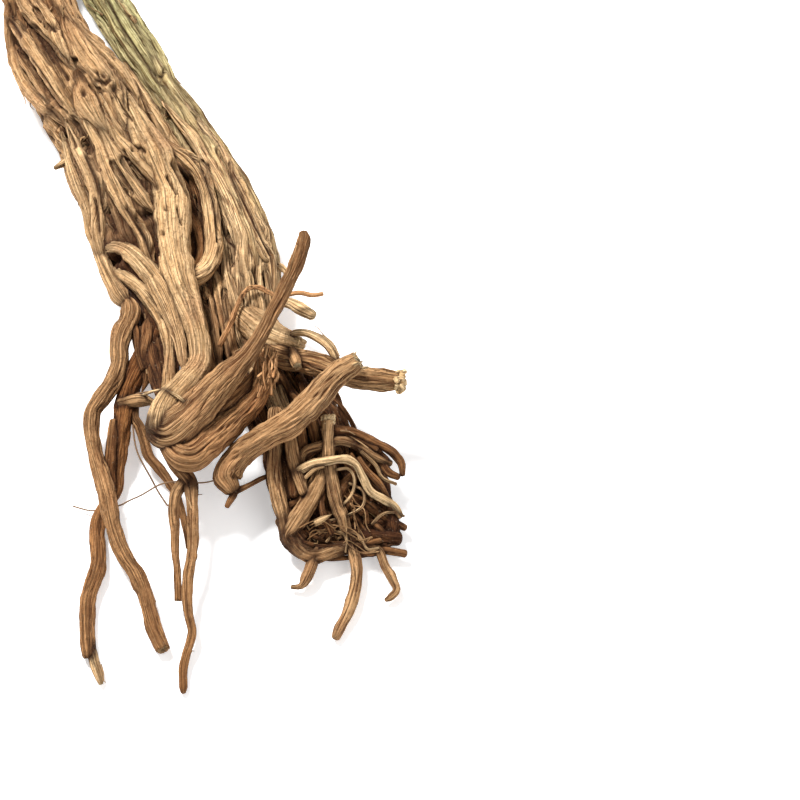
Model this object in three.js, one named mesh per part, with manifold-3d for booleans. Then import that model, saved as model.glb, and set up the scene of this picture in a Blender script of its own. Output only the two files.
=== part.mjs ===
// A dried climbing plant's root: two woody stems that grew together in one crown,
// with a looped side root, a taproot that turns back on itself, and long rootlets.
// It lies on a table. Millimetres, +Z up, +Y along the stems away from the rootlets.

import * as THREE from "three";
import { mergeVertices } from "three/addons/utils/BufferGeometryUtils.js";
import Module from "manifold-3d";

const wasm = await Module();
wasm.setup();

// Driving dimensions
const LOOK_DOWN = THREE.MathUtils.degToRad(60); // the routes are traced by an eye this far above the table
const EYE_DISTANCE = 900;
const VIEW_CENTRE = 100; // across and down of the point that the eye looks at
const SINK = 0.35; // how deep a strand lies in the stem that carries it, as a share of its radius
const CORE_SIDES = 14;
const CORE_FLUTE = 0.05;
const ROUGH_BARK = 0.05;
const ROPES = [ // the strands that run down each stem into the crown
  { stem: "first", count: 8, radius: 2.1, start: 0, end: 8, turn: 0.07 },
  { stem: "second", count: 5, radius: 1.3, start: 0, end: 8, turn: -0.08 },
];
const ROPE_OUT = 0.86; // how far out a rope's middle lies, as a share of the stem's radius
const ROPE_WANDER = 0.12; // how far it strays round the stem, in radians

// Routes are [across, down, height, radius]. Across and down are what the eye sees, height is above
// the table, and a height of null lays the point on the stem.
const STEM = [
  [4.2, -27.5, 7.2, 8], [5.5, -18.8, 7.2, 8], [7.2, -8.8, 7.3, 8], [9.2, 0, 7.4, 8.2], [11.5, 7.5, 7.8, 8.5],
  [15, 14.5, 9.2, 10], [19.5, 21.2, 10.6, 11.5], [23.8, 28.8, 11.2, 12], [27.5, 36.2, 11.4, 12.2],
  [30, 43.8, 11.2, 12], [32.5, 51.2, 10.8, 11.5], [35, 58.8, 10.4, 11], [37.5, 65.5, 9.6, 10],
  [40, 72.5, 8.4, 8.8], [42.5, 80, 7, 7], [45, 87, 7, 4.5],
];
const SECOND_STEM = [
  [20, -20.5, 4.7, 5], [21.2, -13, 4.7, 5], [23.5, -6.2, 4.7, 5], [26.5, 0, 4.7, 5], [30.5, 6.2, 4.9, 5.2],
  [34.2, 12, 4.9, 5.2], [37.5, 17, 5, 5], [40, 21.2, 5.2, 4.4], [43, 25.8, 5.6, 4.4], [46.5, 31, 6.2, 4.7],
  [49.8, 36.2, 6.8, 5], [52.8, 41.2, 7.2, 5.3], [55.5, 46.2, 7.8, 5.8], [58.2, 51.8, 8.2, 6.1],
  [60.8, 57.5, 8.4, 6.3], [62.2, 63, 8.6, 6.5], [63, 68.8, 8.6, 6.8], [63, 74.5, 8.4, 6.8],
  [62.5, 80, 8, 6.2], [62, 85.5, 8, 5.4], [64.5, 92, 9.5, 4.4], [68, 99, 12, 3.8], [71, 106, 14, 3.2],
];
const WEB = [ // what joins the two stems low down between them
  [30.5, 18, 4, 3], [33.8, 23.8, 4.5, 3.5], [37.5, 30, 5, 4], [41.2, 36.2, 5.5, 4], [45.5, 42.5, 6, 4.5],
  [49.5, 48.8, 6, 4.8], [51.2, 55, 6.2, 5], [52.5, 62.5, 6.4, 5.2], [53.2, 70, 6.4, 5.4], [53.5, 77, 6.4, 5.4],
  [53.5, 83, 6.4, 4.8], [52.5, 89, 7, 3.5],
];
const TAPROOT = [
  [35, 33.8, null, 5.2], [37.5, 38.8, null, 5.5], [40, 44.5, null, 5.5], [42, 50, null, 5.5],
  [42.5, 55, null, 5.5], [42.8, 60, null, 5], [43.8, 65.5, 16.5, 4.6], [45.2, 71.2, 17, 4.2],
  [47.2, 76.8, 17.8, 3.4], [49, 82, 18.8, 2.9], [50, 87, 19.6, 2.8], [49.8, 91.5, 20, 3], [47, 95.5, 20.4, 3.4],
  [43.5, 99.5, 20.4, 3.9], [41.2, 103.5, 20, 4.3], [40.6, 107.2, 19.5, 4.5],
];
const SURFACE_STRANDS = {
  leftEdge: [
    [15.5, 33, null, 1.4], [17.5, 40, null, 1.8], [19.2, 44.5, null, 2], [21, 49, null, 2], [22.5, 53.5, null, 2],
    [23.2, 57.5, null, 2], [24.8, 61.8, null, 2], [25.8, 65.5, 12.5, 2], [27.2, 69, 13, 2.1],
    [28.8, 72, 13.4, 2.2], [30.2, 74.5, 13.6, 2.5], [32.5, 77, 13, 2.4],
  ],
  left: [
    [20, 37.5, null, 2.2], [22.5, 42, null, 2.4], [24.5, 47, null, 2.5], [25, 52.5, null, 2.5],
    [25.2, 58, null, 2.5], [26, 62.5, null, 2.5], [27.5, 66.5, null, 2.3],
  ],
  middle: [
    [25, 37, null, 1.8], [26.5, 41.2, null, 1.8], [28.2, 45.5, null, 2], [30.2, 49.5, null, 2],
    [32.2, 53.2, null, 2], [34.5, 56.8, null, 2], [36.2, 60, null, 2], [37.2, 63.8, null, 1.8],
    [38.5, 67, null, 1.6],
  ],
  innerMiddle: [
    [28, 37.5, null, 1.8], [29.8, 41.2, null, 2], [31.8, 44.5, null, 2], [34, 47.5, null, 2],
    [36.2, 50.5, null, 2], [38.2, 53, null, 2],
  ],
  right: [
    [29.5, 35, null, 2], [32, 38, null, 2.2], [35, 41.5, null, 2.2], [38, 45, null, 2.2], [40.5, 48.8, null, 2.2],
    [42, 52.5, null, 2.2],
  ],
  knot: [
    [26, 64.5, null, 2.2], [27.5, 62, null, 2], [30.5, 62, null, 2.2], [33.5, 64, null, 2.5],
    [36.2, 66.8, null, 2.8], [38.8, 70.2, null, 2.8], [41, 74.2, 16.6, 2.8], [42.8, 78.2, 16.8, 2.5],
    [44.2, 82.5, 17, 2], [45.4, 87, 17.8, 1.6], [46.2, 93, 19, 1.4],
  ],
  underKnot: [
    [25.5, 66, null, 2], [28, 67.8, null, 2], [31, 69.2, null, 2], [34, 71, null, 2], [36.8, 73.8, null, 2.2],
    [39, 77, null, 2.2], [41, 80.5, 13.8, 2], [42.2, 85, 14.5, 1.8], [42.5, 89.5, 15.5, 1.6],
    [42.2, 95, 17.5, 1.8], [42, 100, 19, 2],
  ],
};
const SECOND_STEM_STRANDS = {
  inner: [
    [37.5, 26.2, null, 1.4], [40, 29.5, null, 1.5], [42.5, 33.8, null, 1.5], [45, 37.5, null, 1.6],
    [47.5, 41.2, null, 1.6], [50, 43.5, null, 1.6], [53, 50, null, 1.6], [55.5, 57, null, 1.6],
    [56.5, 63.8, null, 1.6], [57, 69, null, 1.6], [58, 75, null, 1.6], [58, 80, null, 1.4],
  ],
  ridge: [
    [40, 24.5, null, 1.3], [45, 30.5, null, 1.4], [48.8, 35, null, 1.5], [51.2, 39.5, null, 1.6],
    [54.5, 45, null, 1.7], [57, 50, null, 1.8], [59, 55, null, 1.8], [60.5, 60, null, 1.8], [60.5, 66, null, 1.8],
    [61, 72, null, 1.8], [60.5, 78, null, 1.6],
  ],
  outer: [
    [43, 22, null, 1.2], [47.5, 28, null, 1.3], [51.2, 33.2, null, 1.5], [55, 38, null, 1.5], [58, 45, null, 1.6],
    [60.8, 51.2, null, 1.7], [63, 56.2, null, 1.8], [65.5, 61.2, null, 1.8], [67.2, 65, null, 1.8],
    [67.8, 71, null, 1.6], [67, 78, null, 1.8], [66, 84, null, 1.8],
  ],
};
const LOOP = [
  [39.5, 34.5, 17, 2], [43.8, 37.5, 18, 2.2], [47.5, 40.2, 17.6, 2.2], [50.2, 43.8, 16.6, 2], [51.8, 48, 15.8, 2],
  [52.8, 53, 15.3, 2.1], [53.2, 58, 15, 2.2], [53.5, 62, 15, 2.5], [52.5, 65.8, 15, 2.5], [50.5, 68.2, 15.2, 2.6],
  [47.5, 69.5, 15.6, 2.5], [45, 68.8, 16, 2.2],
];
const INNER_LOOP = [
  [46.5, 51, 12, 1.3], [48.2, 55, 11.2, 1.5], [49.8, 59.5, 11, 1.5], [50, 63.8, 11, 1.3], [49, 67, 12, 1.3],
];
const RISING_ROOT = [ // from the taproot's turn back up over the crown
  [40, 107, 19, 4.2], [42.5, 108, 19.5, 5], [46, 105.5, 21, 5], [49.5, 102, 22.5, 4.8], [53, 98.2, 24, 4.5],
  [56, 95, 25, 3.8], [59, 92, 26, 3], [61.8, 89, 27, 2.4], [64.2, 85.5, 28, 2], [66.2, 82, 28.5, 1.9],
  [68.2, 78, 29, 1.9], [70.2, 74.2, 29.5, 1.9], [72, 70.5, 30, 1.9], [73.8, 66.8, 30.5, 1.9], [75.2, 63, 31, 2],
  [76, 60, 31, 1.8], [75.8, 58.2, 31, 1.2],
];
const BROKEN_ROOT = [
  [43, 109.5, 18, 3.2], [44.5, 113, 18, 3.8], [48, 114, 17.8, 4], [51.5, 111.2, 18, 4], [55, 108.2, 18, 4],
  [58.5, 105, 18.2, 3.7], [61.8, 101.8, 18.8, 3.3], [64.2, 99, 19.2, 2.8], [65.6, 95.5, 20.5, 2.9],
  [66.2, 91.5, 21.5, 2.7], [67, 89.2, 22, 1.5],
];
const HEEL_ROOT = [
  [57.8, 122, 12, 2.4], [56.5, 119.5, 12.4, 3.4], [57.8, 116.5, 13.5, 3.5], [60.8, 113, 16, 3.3],
  [64.2, 110.5, 19, 3.3], [68, 108.2, 21, 3.5], [72, 106, 22, 3.6], [75.8, 102.8, 22.5, 3.7],
  [79, 99.5, 23, 3.5], [82, 96, 24, 3.4], [84.8, 93.2, 25, 3.2], [87.5, 91.5, 26, 3], [89.5, 90.2, 27, 2.5],
];
const CROSS_ROOT = [
  [63, 86, 11, 3], [67.5, 88, 15.5, 2.8], [71.2, 89.5, 17.5, 3], [75, 90.2, 18, 3], [79.5, 91.2, 18.5, 3],
  [85, 93.2, 18.6, 3], [90.5, 94.5, 19, 3], [95.5, 95, 19.5, 3], [100, 95.2, 20, 2.5],
];
const LUMP = [[62, 80, 12, 3], [64.5, 82.5, 15, 3.4], [68, 84.5, 16, 3], [71.2, 85.5, 16.5, 2.5], [74.2, 86, 17, 2]];
const LEFT_ROOTLET = [
  [31, 73.5, 13, 2.7], [32.5, 77.5, 14, 2.6], [32, 80.5, 13.6, 2.5], [30.5, 83.8, 13, 2.7], [29.8, 87, 12.5, 2.5],
  [29.8, 90.5, 12, 2.5], [29, 94, 11.5, 2.5], [27.2, 97.2, 11, 2.4], [25, 100.2, 10, 2.3], [23.2, 103.2, 9, 2.1],
  [22.8, 107, 8.3, 2.1], [23.2, 110.8, 7.8, 2.1], [24.2, 115, 7.4, 2.1], [25.5, 119.2, 7, 2.3],
  [26.8, 123.8, 6.7, 2.3], [27.5, 128, 6.2, 2.3], [28.5, 132.5, 5.4, 2.1], [30, 136.8, 4.6, 2.1],
  [31.8, 140.2, 4, 2.1], [34, 143.5, 3.4, 2.1], [35.8, 147.5, 2.9, 2.1], [37, 151.8, 2.5, 2.1],
  [38.2, 156, 2.2, 2.1], [39.5, 159.5, 2, 2.1], [40.8, 162.5, 1.9, 1.9],
];
const CROSSING_ROOTLET = [
  [40, 77.5, 9, 2.6], [38, 82.5, 11.5, 2.5], [36.8, 87, 11.5, 2.7], [35, 91.2, 11, 2.7], [33, 95.5, 10, 2.7],
  [31.5, 99.5, 9, 2.7], [30.8, 103.8, 8, 2.6], [30.2, 108.2, 7, 2.5], [29.5, 113, 5.4, 2.4], [29.2, 117.5, 3.8, 2],
  [28.8, 122, 2.3, 2], [27, 125.8, 1.9, 2], [25, 129.2, 1.9, 2], [24.2, 133.2, 1.9, 2], [24.5, 137.5, 2, 2.1],
  [24.5, 141.5, 2.1, 2.2], [23.5, 145, 2.1, 2.2], [22.2, 149, 2, 2.1], [21.8, 153, 1.9, 2], [21.8, 157, 1.8, 1.9],
  [22, 160.8, 1.9, 2], [22.6, 164, 1.9, 1.9], [23.8, 167, 1.6, 1.3], [24.6, 170.6, 1.2, 0.6],
];
const STUB = [[30.5, 101, 9.5, 1.8], [33.2, 100.2, 10.4, 1.8], [35.8, 100, 11, 1.8], [38, 100.5, 11, 1]];
const SHORT_ROOTLET = [
  [34, 97, 9.5, 1.3], [33.5, 103.8, 8, 1.3], [35, 107, 7, 1.3], [36.2, 110.8, 6, 1.3], [37.2, 114, 5, 1.4],
  [39.5, 116.8, 4, 1.4], [41.8, 119.8, 3, 1.3], [43.8, 123, 2.5, 1.1], [45.2, 127, 2, 1], [46.5, 132, 1.5, 1],
  [47, 136.8, 1.2, 0.7],
];
const FORK = [[41.2, 110, 17.5, 2.2], [43, 114.5, 15.5, 1.9], [45.2, 117.5, 14, 2], [47.5, 120.5, 12.5, 2],
  [48, 123.8, 11, 1.6]];
const FORK_LEFT = [
  [46.5, 119.5, 12.8, 1.5], [44, 123.5, 11, 1.5], [43.5, 127.5, 10, 1.5], [43.8, 132.5, 8.5, 1.3],
  [43.8, 137.5, 7, 1.1], [44.2, 142.5, 5.5, 1], [44.5, 146.8, 4.5, 1], [44.5, 150.2, 3.5, 1],
];
const FORK_RIGHT = [
  [47.5, 120.5, 12.5, 1.8], [48, 125, 11.3, 1.5], [48.2, 130, 10, 1.5], [48.2, 135.8, 8.6, 1.5],
  [47.8, 140, 7.6, 1.4], [47, 144.5, 6.6, 1.4], [46.8, 149.5, 5.5, 1.4], [47.2, 153.8, 4.5, 1.2],
  [48, 157.5, 3.6, 1.2], [47.5, 160.5, 3, 1.2], [46.5, 163.8, 2.3, 1.2], [45.8, 167.5, 1.8, 1.1],
  [45.8, 171.5, 1.3, 1.1], [45.8, 173, 1.1, 0.7],
];
const TANGLE = {
  farLeft: [
    [69, 103, 18, 2.2], [68.6, 111.2, 15, 1.8], [68.5, 117.5, 12.5, 1.8], [69.5, 123.8, 10, 2],
    [71, 129.5, 7.5, 2], [72.2, 135, 5.5, 2], [75, 138, 4.5, 1.8],
  ],
  left: [[72, 105, 19, 2], [73, 112.5, 15.5, 1.7], [74.2, 117.5, 13, 1.7], [76, 123, 12, 1.4]],
  thick: [
    [82.5, 110, 14.5, 2], [81.2, 115.5, 13, 2.2], [79.5, 120.8, 12, 2.3], [77, 125.8, 10, 2.5], [74, 130.5, 8, 2.5],
    [72, 134, 6, 2.3], [74, 136.5, 5, 2], [77.5, 137.8, 4.5, 1.8],
  ],
  upright: [
    [82, 105.2, 19, 1.7], [82, 110, 17, 1.6], [82.2, 115, 15, 1.6], [83, 120.5, 12.5, 1.8], [84.2, 125.8, 10, 1.8],
    [85.8, 130.2, 7.5, 1.8], [86.8, 134, 5.5, 1.6],
  ],
  long: [
    [74, 118, 13, 1.2], [78, 116, 15.5, 1.2], [82, 115.2, 17, 1.2], [86.2, 114.8, 16.5, 1.1], [89, 116.2, 15, 1.1],
    [90.8, 119.5, 13, 1.1], [92.5, 122.8, 11, 1.1], [95.8, 124.8, 9, 1.1], [98.5, 126.5, 7, 1.1],
    [100, 129, 5, 0.9],
  ],
  high: [
    [75, 117, 12.5, 1.2], [76.2, 113, 15, 1.2], [80, 111.5, 16, 1.2], [85, 110, 16, 1.2], [89.5, 111.5, 14, 1.2],
    [93.8, 114.2, 12, 1.2], [97.5, 115.8, 10, 0.9],
  ],
  base: [[70.8, 130, 7, 2], [74.5, 137, 5, 2.1], [79, 139, 4.2, 2.1], [83.8, 137.5, 4.4, 2], [88, 136.2, 4.4, 1.8]],
  down: [
    [87.5, 135, 5, 1.7], [89, 140.5, 4, 1.6], [89.2, 145, 3, 1.6], [88.2, 149.5, 2.4, 1.6], [86.8, 153.5, 2, 1.5],
    [85, 157, 1.7, 1.5], [84, 159.2, 1.5, 1.2],
  ],
  downLeft: [
    [79, 137.8, 4.5, 1.7], [77.8, 141.5, 4, 1.6], [76.5, 144.5, 3, 1.5], [75.2, 146.5, 2, 0.9], [73, 146.8, 1.4, 0.6],
  ],
  downRight: [
    [87, 136, 4.6, 1.3], [91.2, 136.8, 4.4, 1.2], [94.5, 137.5, 4, 1.2], [96.2, 141.5, 3, 1.2], [98.2, 145, 2.5, 1.1],
    [99.2, 147.5, 2, 1], [97.5, 149.5, 1.6, 0.9], [96.5, 150, 1.4, 0.6],
  ],
};
const SHOOTS = [
  [[71, 86, 17, 1.3], [73.5, 83.5, 19.5, 1.1], [76.2, 83.2, 21, 1.1], [79, 84.2, 21, 1.2], [81.5, 85.8, 20.6, 1.2],
    [83.2, 88, 20.2, 1.1], [84.5, 91, 20, 1]],
  [[66, 74, 9, 1.5], [72.5, 75.8, 11.5, 1.5], [75, 77.2, 12, 1.7], [78, 78.8, 12.6, 1.5]],
  [[65.5, 62, 9, 1], [68.5, 65.8, 10, 0.9], [70.5, 66.8, 10, 0.8], [73, 70, 10, 0.7]],
  [[17.5, 40, 13, 1.2], [15.2, 41.2, 13, 0.9], [13.8, 42, 13, 0.6]],
];

const eye = new THREE.Vector3(0, -EYE_DISTANCE * Math.cos(LOOK_DOWN), EYE_DISTANCE * Math.sin(LOOK_DOWN));
const viewUp = new THREE.Vector3(0, Math.sin(LOOK_DOWN), Math.cos(LOOK_DOWN));

// The line from the eye through what it sees at across and down: one unit reaches the plane that it looks at.
function sightLine(across, down) {
  const seen = viewUp.clone().multiplyScalar(VIEW_CENTRE - down);
  seen.x += across - VIEW_CENTRE;
  return seen.sub(eye);
}

function atHeight([across, down, height, radius]) {
  const line = sightLine(across, down);
  const share = (height - eye.z) / line.z;
  return { place: line.multiplyScalar(share).add(eye), radius: radius * share };
}

// The first place where the line of sight meets the stem, or passes closest to it, sunk by part of the radius.
function laidOn(stem, [across, down, , radius]) {
  const line = sightLine(across, down);
  const reach = line.length();
  line.normalize();
  let nearest = null;
  let hit = null;
  for (const { place, radius: stemRadius } of stem) {
    const along = place.clone().sub(eye).dot(line);
    const off = line.clone().multiplyScalar(along).add(eye).distanceTo(place);
    if (nearest === null || off - stemRadius < nearest.off) nearest = { off: off - stemRadius, along };
    if (off < stemRadius) {
      const front = along - Math.sqrt(stemRadius ** 2 - off ** 2);
      if (hit === null || front < hit) hit = front;
    }
  }
  const met = (hit ?? nearest.along) + SINK * radius;
  return { place: line.multiplyScalar(met).add(eye), radius: (radius * met) / reach };
}

// Points close together along a stem, so that a line of sight finds its skin.
function filled(route, steps) {
  const points = route.map(atHeight);
  const made = [];
  for (let i = 0; i + 1 < points.length; i++) {
    for (let k = 0; k < steps; k++) {
      const share = k / steps;
      const place = points[i].place.clone().lerp(points[i + 1].place, share);
      made.push({ place, radius: THREE.MathUtils.lerp(points[i].radius, points[i + 1].radius, share) });
    }
  }
  return made;
}

function placed(route, stem) {
  return route.map((point) => (point[2] === null ? laidOn(stem, point) : atHeight(point)));
}

function sidesFor(radius) {
  if (radius > 3.2) return 9;
  return radius > 1.6 ? 6 : 5;
}

// Two directions square to the route at each point, which turn no more than they must.
function squareTo(points) {
  const last = points.length - 1;
  let side = new THREE.Vector3(0, 0, 1);
  return points.map((_, i) => {
    const ahead = points[Math.min(i + 1, last)].place.clone().sub(points[Math.max(i - 1, 0)].place).normalize();
    side = side.clone().addScaledVector(ahead, -side.dot(ahead)).normalize();
    return [side, ahead.clone().cross(side)];
  });
}

function aroundPoint({ place }, [side, other], angle, out) {
  return place.clone().addScaledVector(side, out * Math.cos(angle)).addScaledVector(other, out * Math.sin(angle));
}

// A closed tube through the points.
function tube(points, sides, flute = 0) {
  const corners = [];
  const faces = [];
  const last = points.length - 1;
  squareTo(points).forEach((directions, i) => {
    for (let k = 0; k < sides; k++) {
      const wave = flute * Math.cos(Math.PI * k) + ROUGH_BARK * Math.sin(2.1 * k + 1.7 * i);
      corners.push(aroundPoint(points[i], directions, (2 * Math.PI * k) / sides, points[i].radius * (1 + wave)));
    }
  });
  for (let i = 0; i < last; i++) {
    for (let k = 0; k < sides; k++) {
      const next = (k + 1) % sides;
      const [a, b, c, d] = [i * sides + k, i * sides + next, (i + 1) * sides + next, (i + 1) * sides + k];
      faces.push(a, b, c, a, c, d);
    }
  }
  const start = corners.push(points[0].place.clone()) - 1;
  const end = corners.push(points[last].place.clone()) - 1;
  for (let k = 0; k < sides; k++) {
    const next = (k + 1) % sides;
    faces.push(start, next, k, end, last * sides + k, last * sides + next);
  }
  const geometry = new THREE.BufferGeometry().setFromPoints(corners);
  geometry.setIndex(faces);
  return geometry;
}

function solid(geometry) {
  geometry.deleteAttribute("normal");
  geometry.deleteAttribute("uv");
  const merged = mergeVertices(geometry);
  const vertProperties = Float32Array.from(merged.attributes.position.array);
  const triVerts = Uint32Array.from(merged.index.array);
  return new wasm.Manifold(new wasm.Mesh({ numProp: 3, vertProperties, triVerts }));
}

function strand(route, stem) {
  const points = placed(route, stem);
  const thickest = Math.max(...points.map(({ radius }) => radius));
  return solid(tube(points, sidesFor(thickest)));
}

function stemSolid(route) {
  return solid(tube(route.map(atHeight), CORE_SIDES, CORE_FLUTE));
}

// The ropes of one stem, spread evenly round it and straying a little.
function ropesOn(route, { count, radius, start, end, turn }) {
  const points = route.map(atHeight);
  const directions = squareTo(points);
  return Array.from({ length: count }, (_, rope) => {
    const along = points.slice(start, end + 1).map((point, i) => {
      const stray = ROPE_WANDER * Math.sin(1.3 * i + 2.4 * rope);
      const angle = (2 * Math.PI * (rope + 0.5)) / count + turn * i + stray;
      const place = aroundPoint(point, directions[start + i], angle, ROPE_OUT * point.radius);
      return { place, radius: radius * (1 + 0.15 * Math.sin(2 * i + rope)) };
    });
    return solid(tube(along, 5));
  });
}

function wholeRoot() {
  const stem = filled(STEM, 8);
  const secondStem = filled(SECOND_STEM, 8);
  const ropes = ROPES.flatMap((rope) => ropesOn(rope.stem === "first" ? STEM : SECOND_STEM, rope));
  const onStem = [TAPROOT, ...Object.values(SURFACE_STRANDS)].map((route) => strand(route, stem));
  const onSecondStem = Object.values(SECOND_STEM_STRANDS).map((route) => strand(route, secondStem));
  const loose = [
    WEB, LOOP, INNER_LOOP, RISING_ROOT, BROKEN_ROOT, HEEL_ROOT, CROSS_ROOT, LUMP, LEFT_ROOTLET, CROSSING_ROOTLET,
    STUB, SHORT_ROOTLET, FORK, FORK_LEFT, FORK_RIGHT, ...Object.values(TANGLE), ...SHOOTS,
  ].map((route) => strand(route, stem));
  let root = stemSolid(STEM).add(stemSolid(SECOND_STEM));
  for (const piece of [...ropes, ...onStem, ...onSecondStem, ...loose]) root = root.add(piece);
  return outerSkin(root.subtract(belowTable()));
}

// Small spaces shut in between strands are solid wood, so only the outer skin is kept.
function outerSkin(body) {
  const skins = body.decompose();
  return skins.reduce((best, skin) => (skin.volume() > best.volume() ? skin : best));
}

// What lies under the table's level, so that the root rests on small flat places.
function belowTable() {
  const depth = 20;
  const table = new THREE.BoxGeometry(400, 500, depth);
  table.translate(0, 0, -depth / 2);
  return solid(table);
}

function standing(root) {
  const { vertProperties, triVerts, numProp } = root.getMesh();
  const geometry = new THREE.BufferGeometry();
  const corners = [];
  for (let i = 0; i < vertProperties.length; i += numProp) corners.push(...vertProperties.slice(i, i + 3));
  geometry.setAttribute("position", new THREE.Float32BufferAttribute(corners, 3));
  geometry.setIndex([...triVerts]);
  geometry.computeBoundingBox();
  const middle = geometry.boundingBox.getCenter(new THREE.Vector3());
  geometry.translate(-middle.x, -middle.y, -geometry.boundingBox.min.z);
  return geometry;
}

const bark = new THREE.MeshStandardMaterial({ color: 0xc9a273, roughness: 0.85, metalness: 0 });
const root = new THREE.Mesh(standing(wholeRoot()), bark);
root.name = "dried_root";

const model = new THREE.Group();
model.add(root);
export default model;
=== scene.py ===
import math

import bpy
import numpy as np
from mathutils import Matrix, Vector


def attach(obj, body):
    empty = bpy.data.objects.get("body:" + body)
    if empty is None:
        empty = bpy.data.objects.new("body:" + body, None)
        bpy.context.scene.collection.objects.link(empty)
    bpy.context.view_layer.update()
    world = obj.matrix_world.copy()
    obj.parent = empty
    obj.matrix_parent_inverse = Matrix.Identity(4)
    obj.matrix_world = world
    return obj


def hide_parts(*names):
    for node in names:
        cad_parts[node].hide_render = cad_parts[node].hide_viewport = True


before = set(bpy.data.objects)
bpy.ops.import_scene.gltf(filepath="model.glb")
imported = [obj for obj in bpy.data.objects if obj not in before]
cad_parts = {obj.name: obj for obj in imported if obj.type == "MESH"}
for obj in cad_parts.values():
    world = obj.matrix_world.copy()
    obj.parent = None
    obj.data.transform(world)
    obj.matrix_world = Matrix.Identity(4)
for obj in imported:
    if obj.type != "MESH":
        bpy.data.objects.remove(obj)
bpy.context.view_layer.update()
NODE = "dried_root"

# Sizes are in millimetres until a mesh is made
MM = 0.001
LOOK_DOWN = math.radians(60)  # the routes are traced by an eye this far above the table
EYE_DISTANCE = 900.0
VIEW_CENTRE = 100.0  # across and down of the point that the eye looks at
FRAME_WIDTH = 200.0  # what the picture shows of the plane that the eye looks at
ROOT_MIDDLE = np.array([-56.03, 37.57, 0.0])  # of the solid's box, where the routes are traced
SINK = 0.35  # how deep a strand lies in the stem that carries it, as a share of its radius
LOWEST = 0.02  # of any skin, over the table
HAIR_RADIUS = 0.22
SEED = 7
CURVE_PARTS = 12  # of the smooth curve between two points of a route
SWINGS, SWING_SUM = (0.45, 0.8, 1.7), 2.2  # the waves in a slow random line, and what brings it to 1

# The skin of a strand
FOLDS_TO_RADIUS = 1.9  # coarse folds round a strand, for each millimetre of its radius
FURROW_WIDTH = 0.98
THICK = 2.2  # the radius over which a strand's fine furrows get no deeper
FOLD_LEVEL, FURROW_LEVEL = 0.85, 0.7  # the heights, from 0 to 1, that leave a skin at its radius
FEWEST_IN_HAIR, FEWEST_IN_RING, MOST_IN_RING = 5, 10, 260  # corners
SLIT_DEPTH, SLIT_LIP = 1.5, 0.3
LIP_OFF, LIP_HALF = 1.9, 0.6  # where the raised lip round a slit runs, in half widths of the slit
SLIT_FACING = 2.5  # how soon a slit fades where the skin turns away from the eye
SLIT_MARGIN = 2  # how far off a strand a slit is passed over
SLIT_SHADE = 1.5
CAP_RINGS = (0.9, 0.7, 0.45, 0.2)  # the width of the rings of an end, as shares of the skin's last ring
ROUND_END, TORN_END = 0.7, 0.12  # how far an end stands out or is ragged, as shares of its radius
# the painted furrow shade of an end's rings, too low to darken them
END_FURROW_SHADE = 0.35
FADED = 0.2  # what is left of a strand's radius at an end that thins out
SHADE_REACH = 0.6  # how near another strand has to be to darken a skin
SHADE_MARGIN = 4  # how far off a strand others are looked for
FAR = 9.0  # farther off than anything that darkens a skin
AT_ONCE = 4000  # corners whose distances are worked out together

# The points of a route are [across, down, height, radius]. Across and down are what the eye sees, and
# height is above the table. A point without a height, [across, down, radius], is laid on the stem.

# The stems

STEM = [
    [4.2, -27.5, 7.2, 8], [5.5, -18.8, 7.2, 8], [7.2, -8.8, 7.3, 8], [9.2, 0, 7.4, 8.2],
    [11.5, 7.5, 7.8, 8.5], [15, 14.5, 9.2, 10], [19.5, 21.2, 10.6, 11.5], [23.8, 28.8, 11.2, 12],
    [27.5, 36.2, 11.4, 12.2], [30, 43.8, 11.2, 12], [32.5, 51.2, 10.8, 11.5], [35, 58.8, 10.4, 11],
    [37.5, 65.5, 9.6, 10], [40, 72.5, 8.4, 8.8], [42.5, 80, 7, 7], [45, 87, 7, 4.5],
]
SECOND_STEM = [
    [20, -20.5, 4.7, 5], [21.2, -13, 4.7, 5], [23.5, -6.2, 4.7, 5], [26.5, 0, 4.7, 5],
    [30.5, 6.2, 4.9, 5.2], [34.2, 12, 4.9, 5.2], [37.5, 17, 5, 5], [40, 21.2, 5.2, 4.4],
    [43, 25.8, 5.6, 4.4], [46.5, 31, 6.2, 4.7], [49.8, 36.2, 6.8, 5], [52.8, 41.2, 7.2, 5.3],
    [55.5, 46.2, 7.8, 5.8], [58.2, 51.8, 8.2, 6.1], [60.8, 57.5, 8.4, 6.3], [62.2, 63, 8.6, 6.5],
    [63, 68.8, 8.6, 6.8], [63, 74.5, 8.4, 6.8], [62.5, 80, 8, 6.2], [62, 85.5, 8, 5.4],
    [64.5, 92, 9.5, 4.4], [68, 99, 12, 3.8], [71, 106, 14, 3.2],
]
# What joins the two stems low down between them
WEB = [
    [30.5, 18, 4, 3], [33.8, 23.8, 4.5, 3.5], [37.5, 30, 5, 4], [41.2, 36.2, 5.5, 4], [45.5, 42.5, 6, 4.5],
    [49.5, 48.8, 6, 4.8], [51.2, 55, 6.2, 5], [52.5, 62.5, 6.4, 5.2], [53.2, 70, 6.4, 5.4],
    [53.5, 77, 6.4, 5.4], [53.5, 83, 6.4, 4.8], [52.5, 89, 7, 3.5],
]
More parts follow.
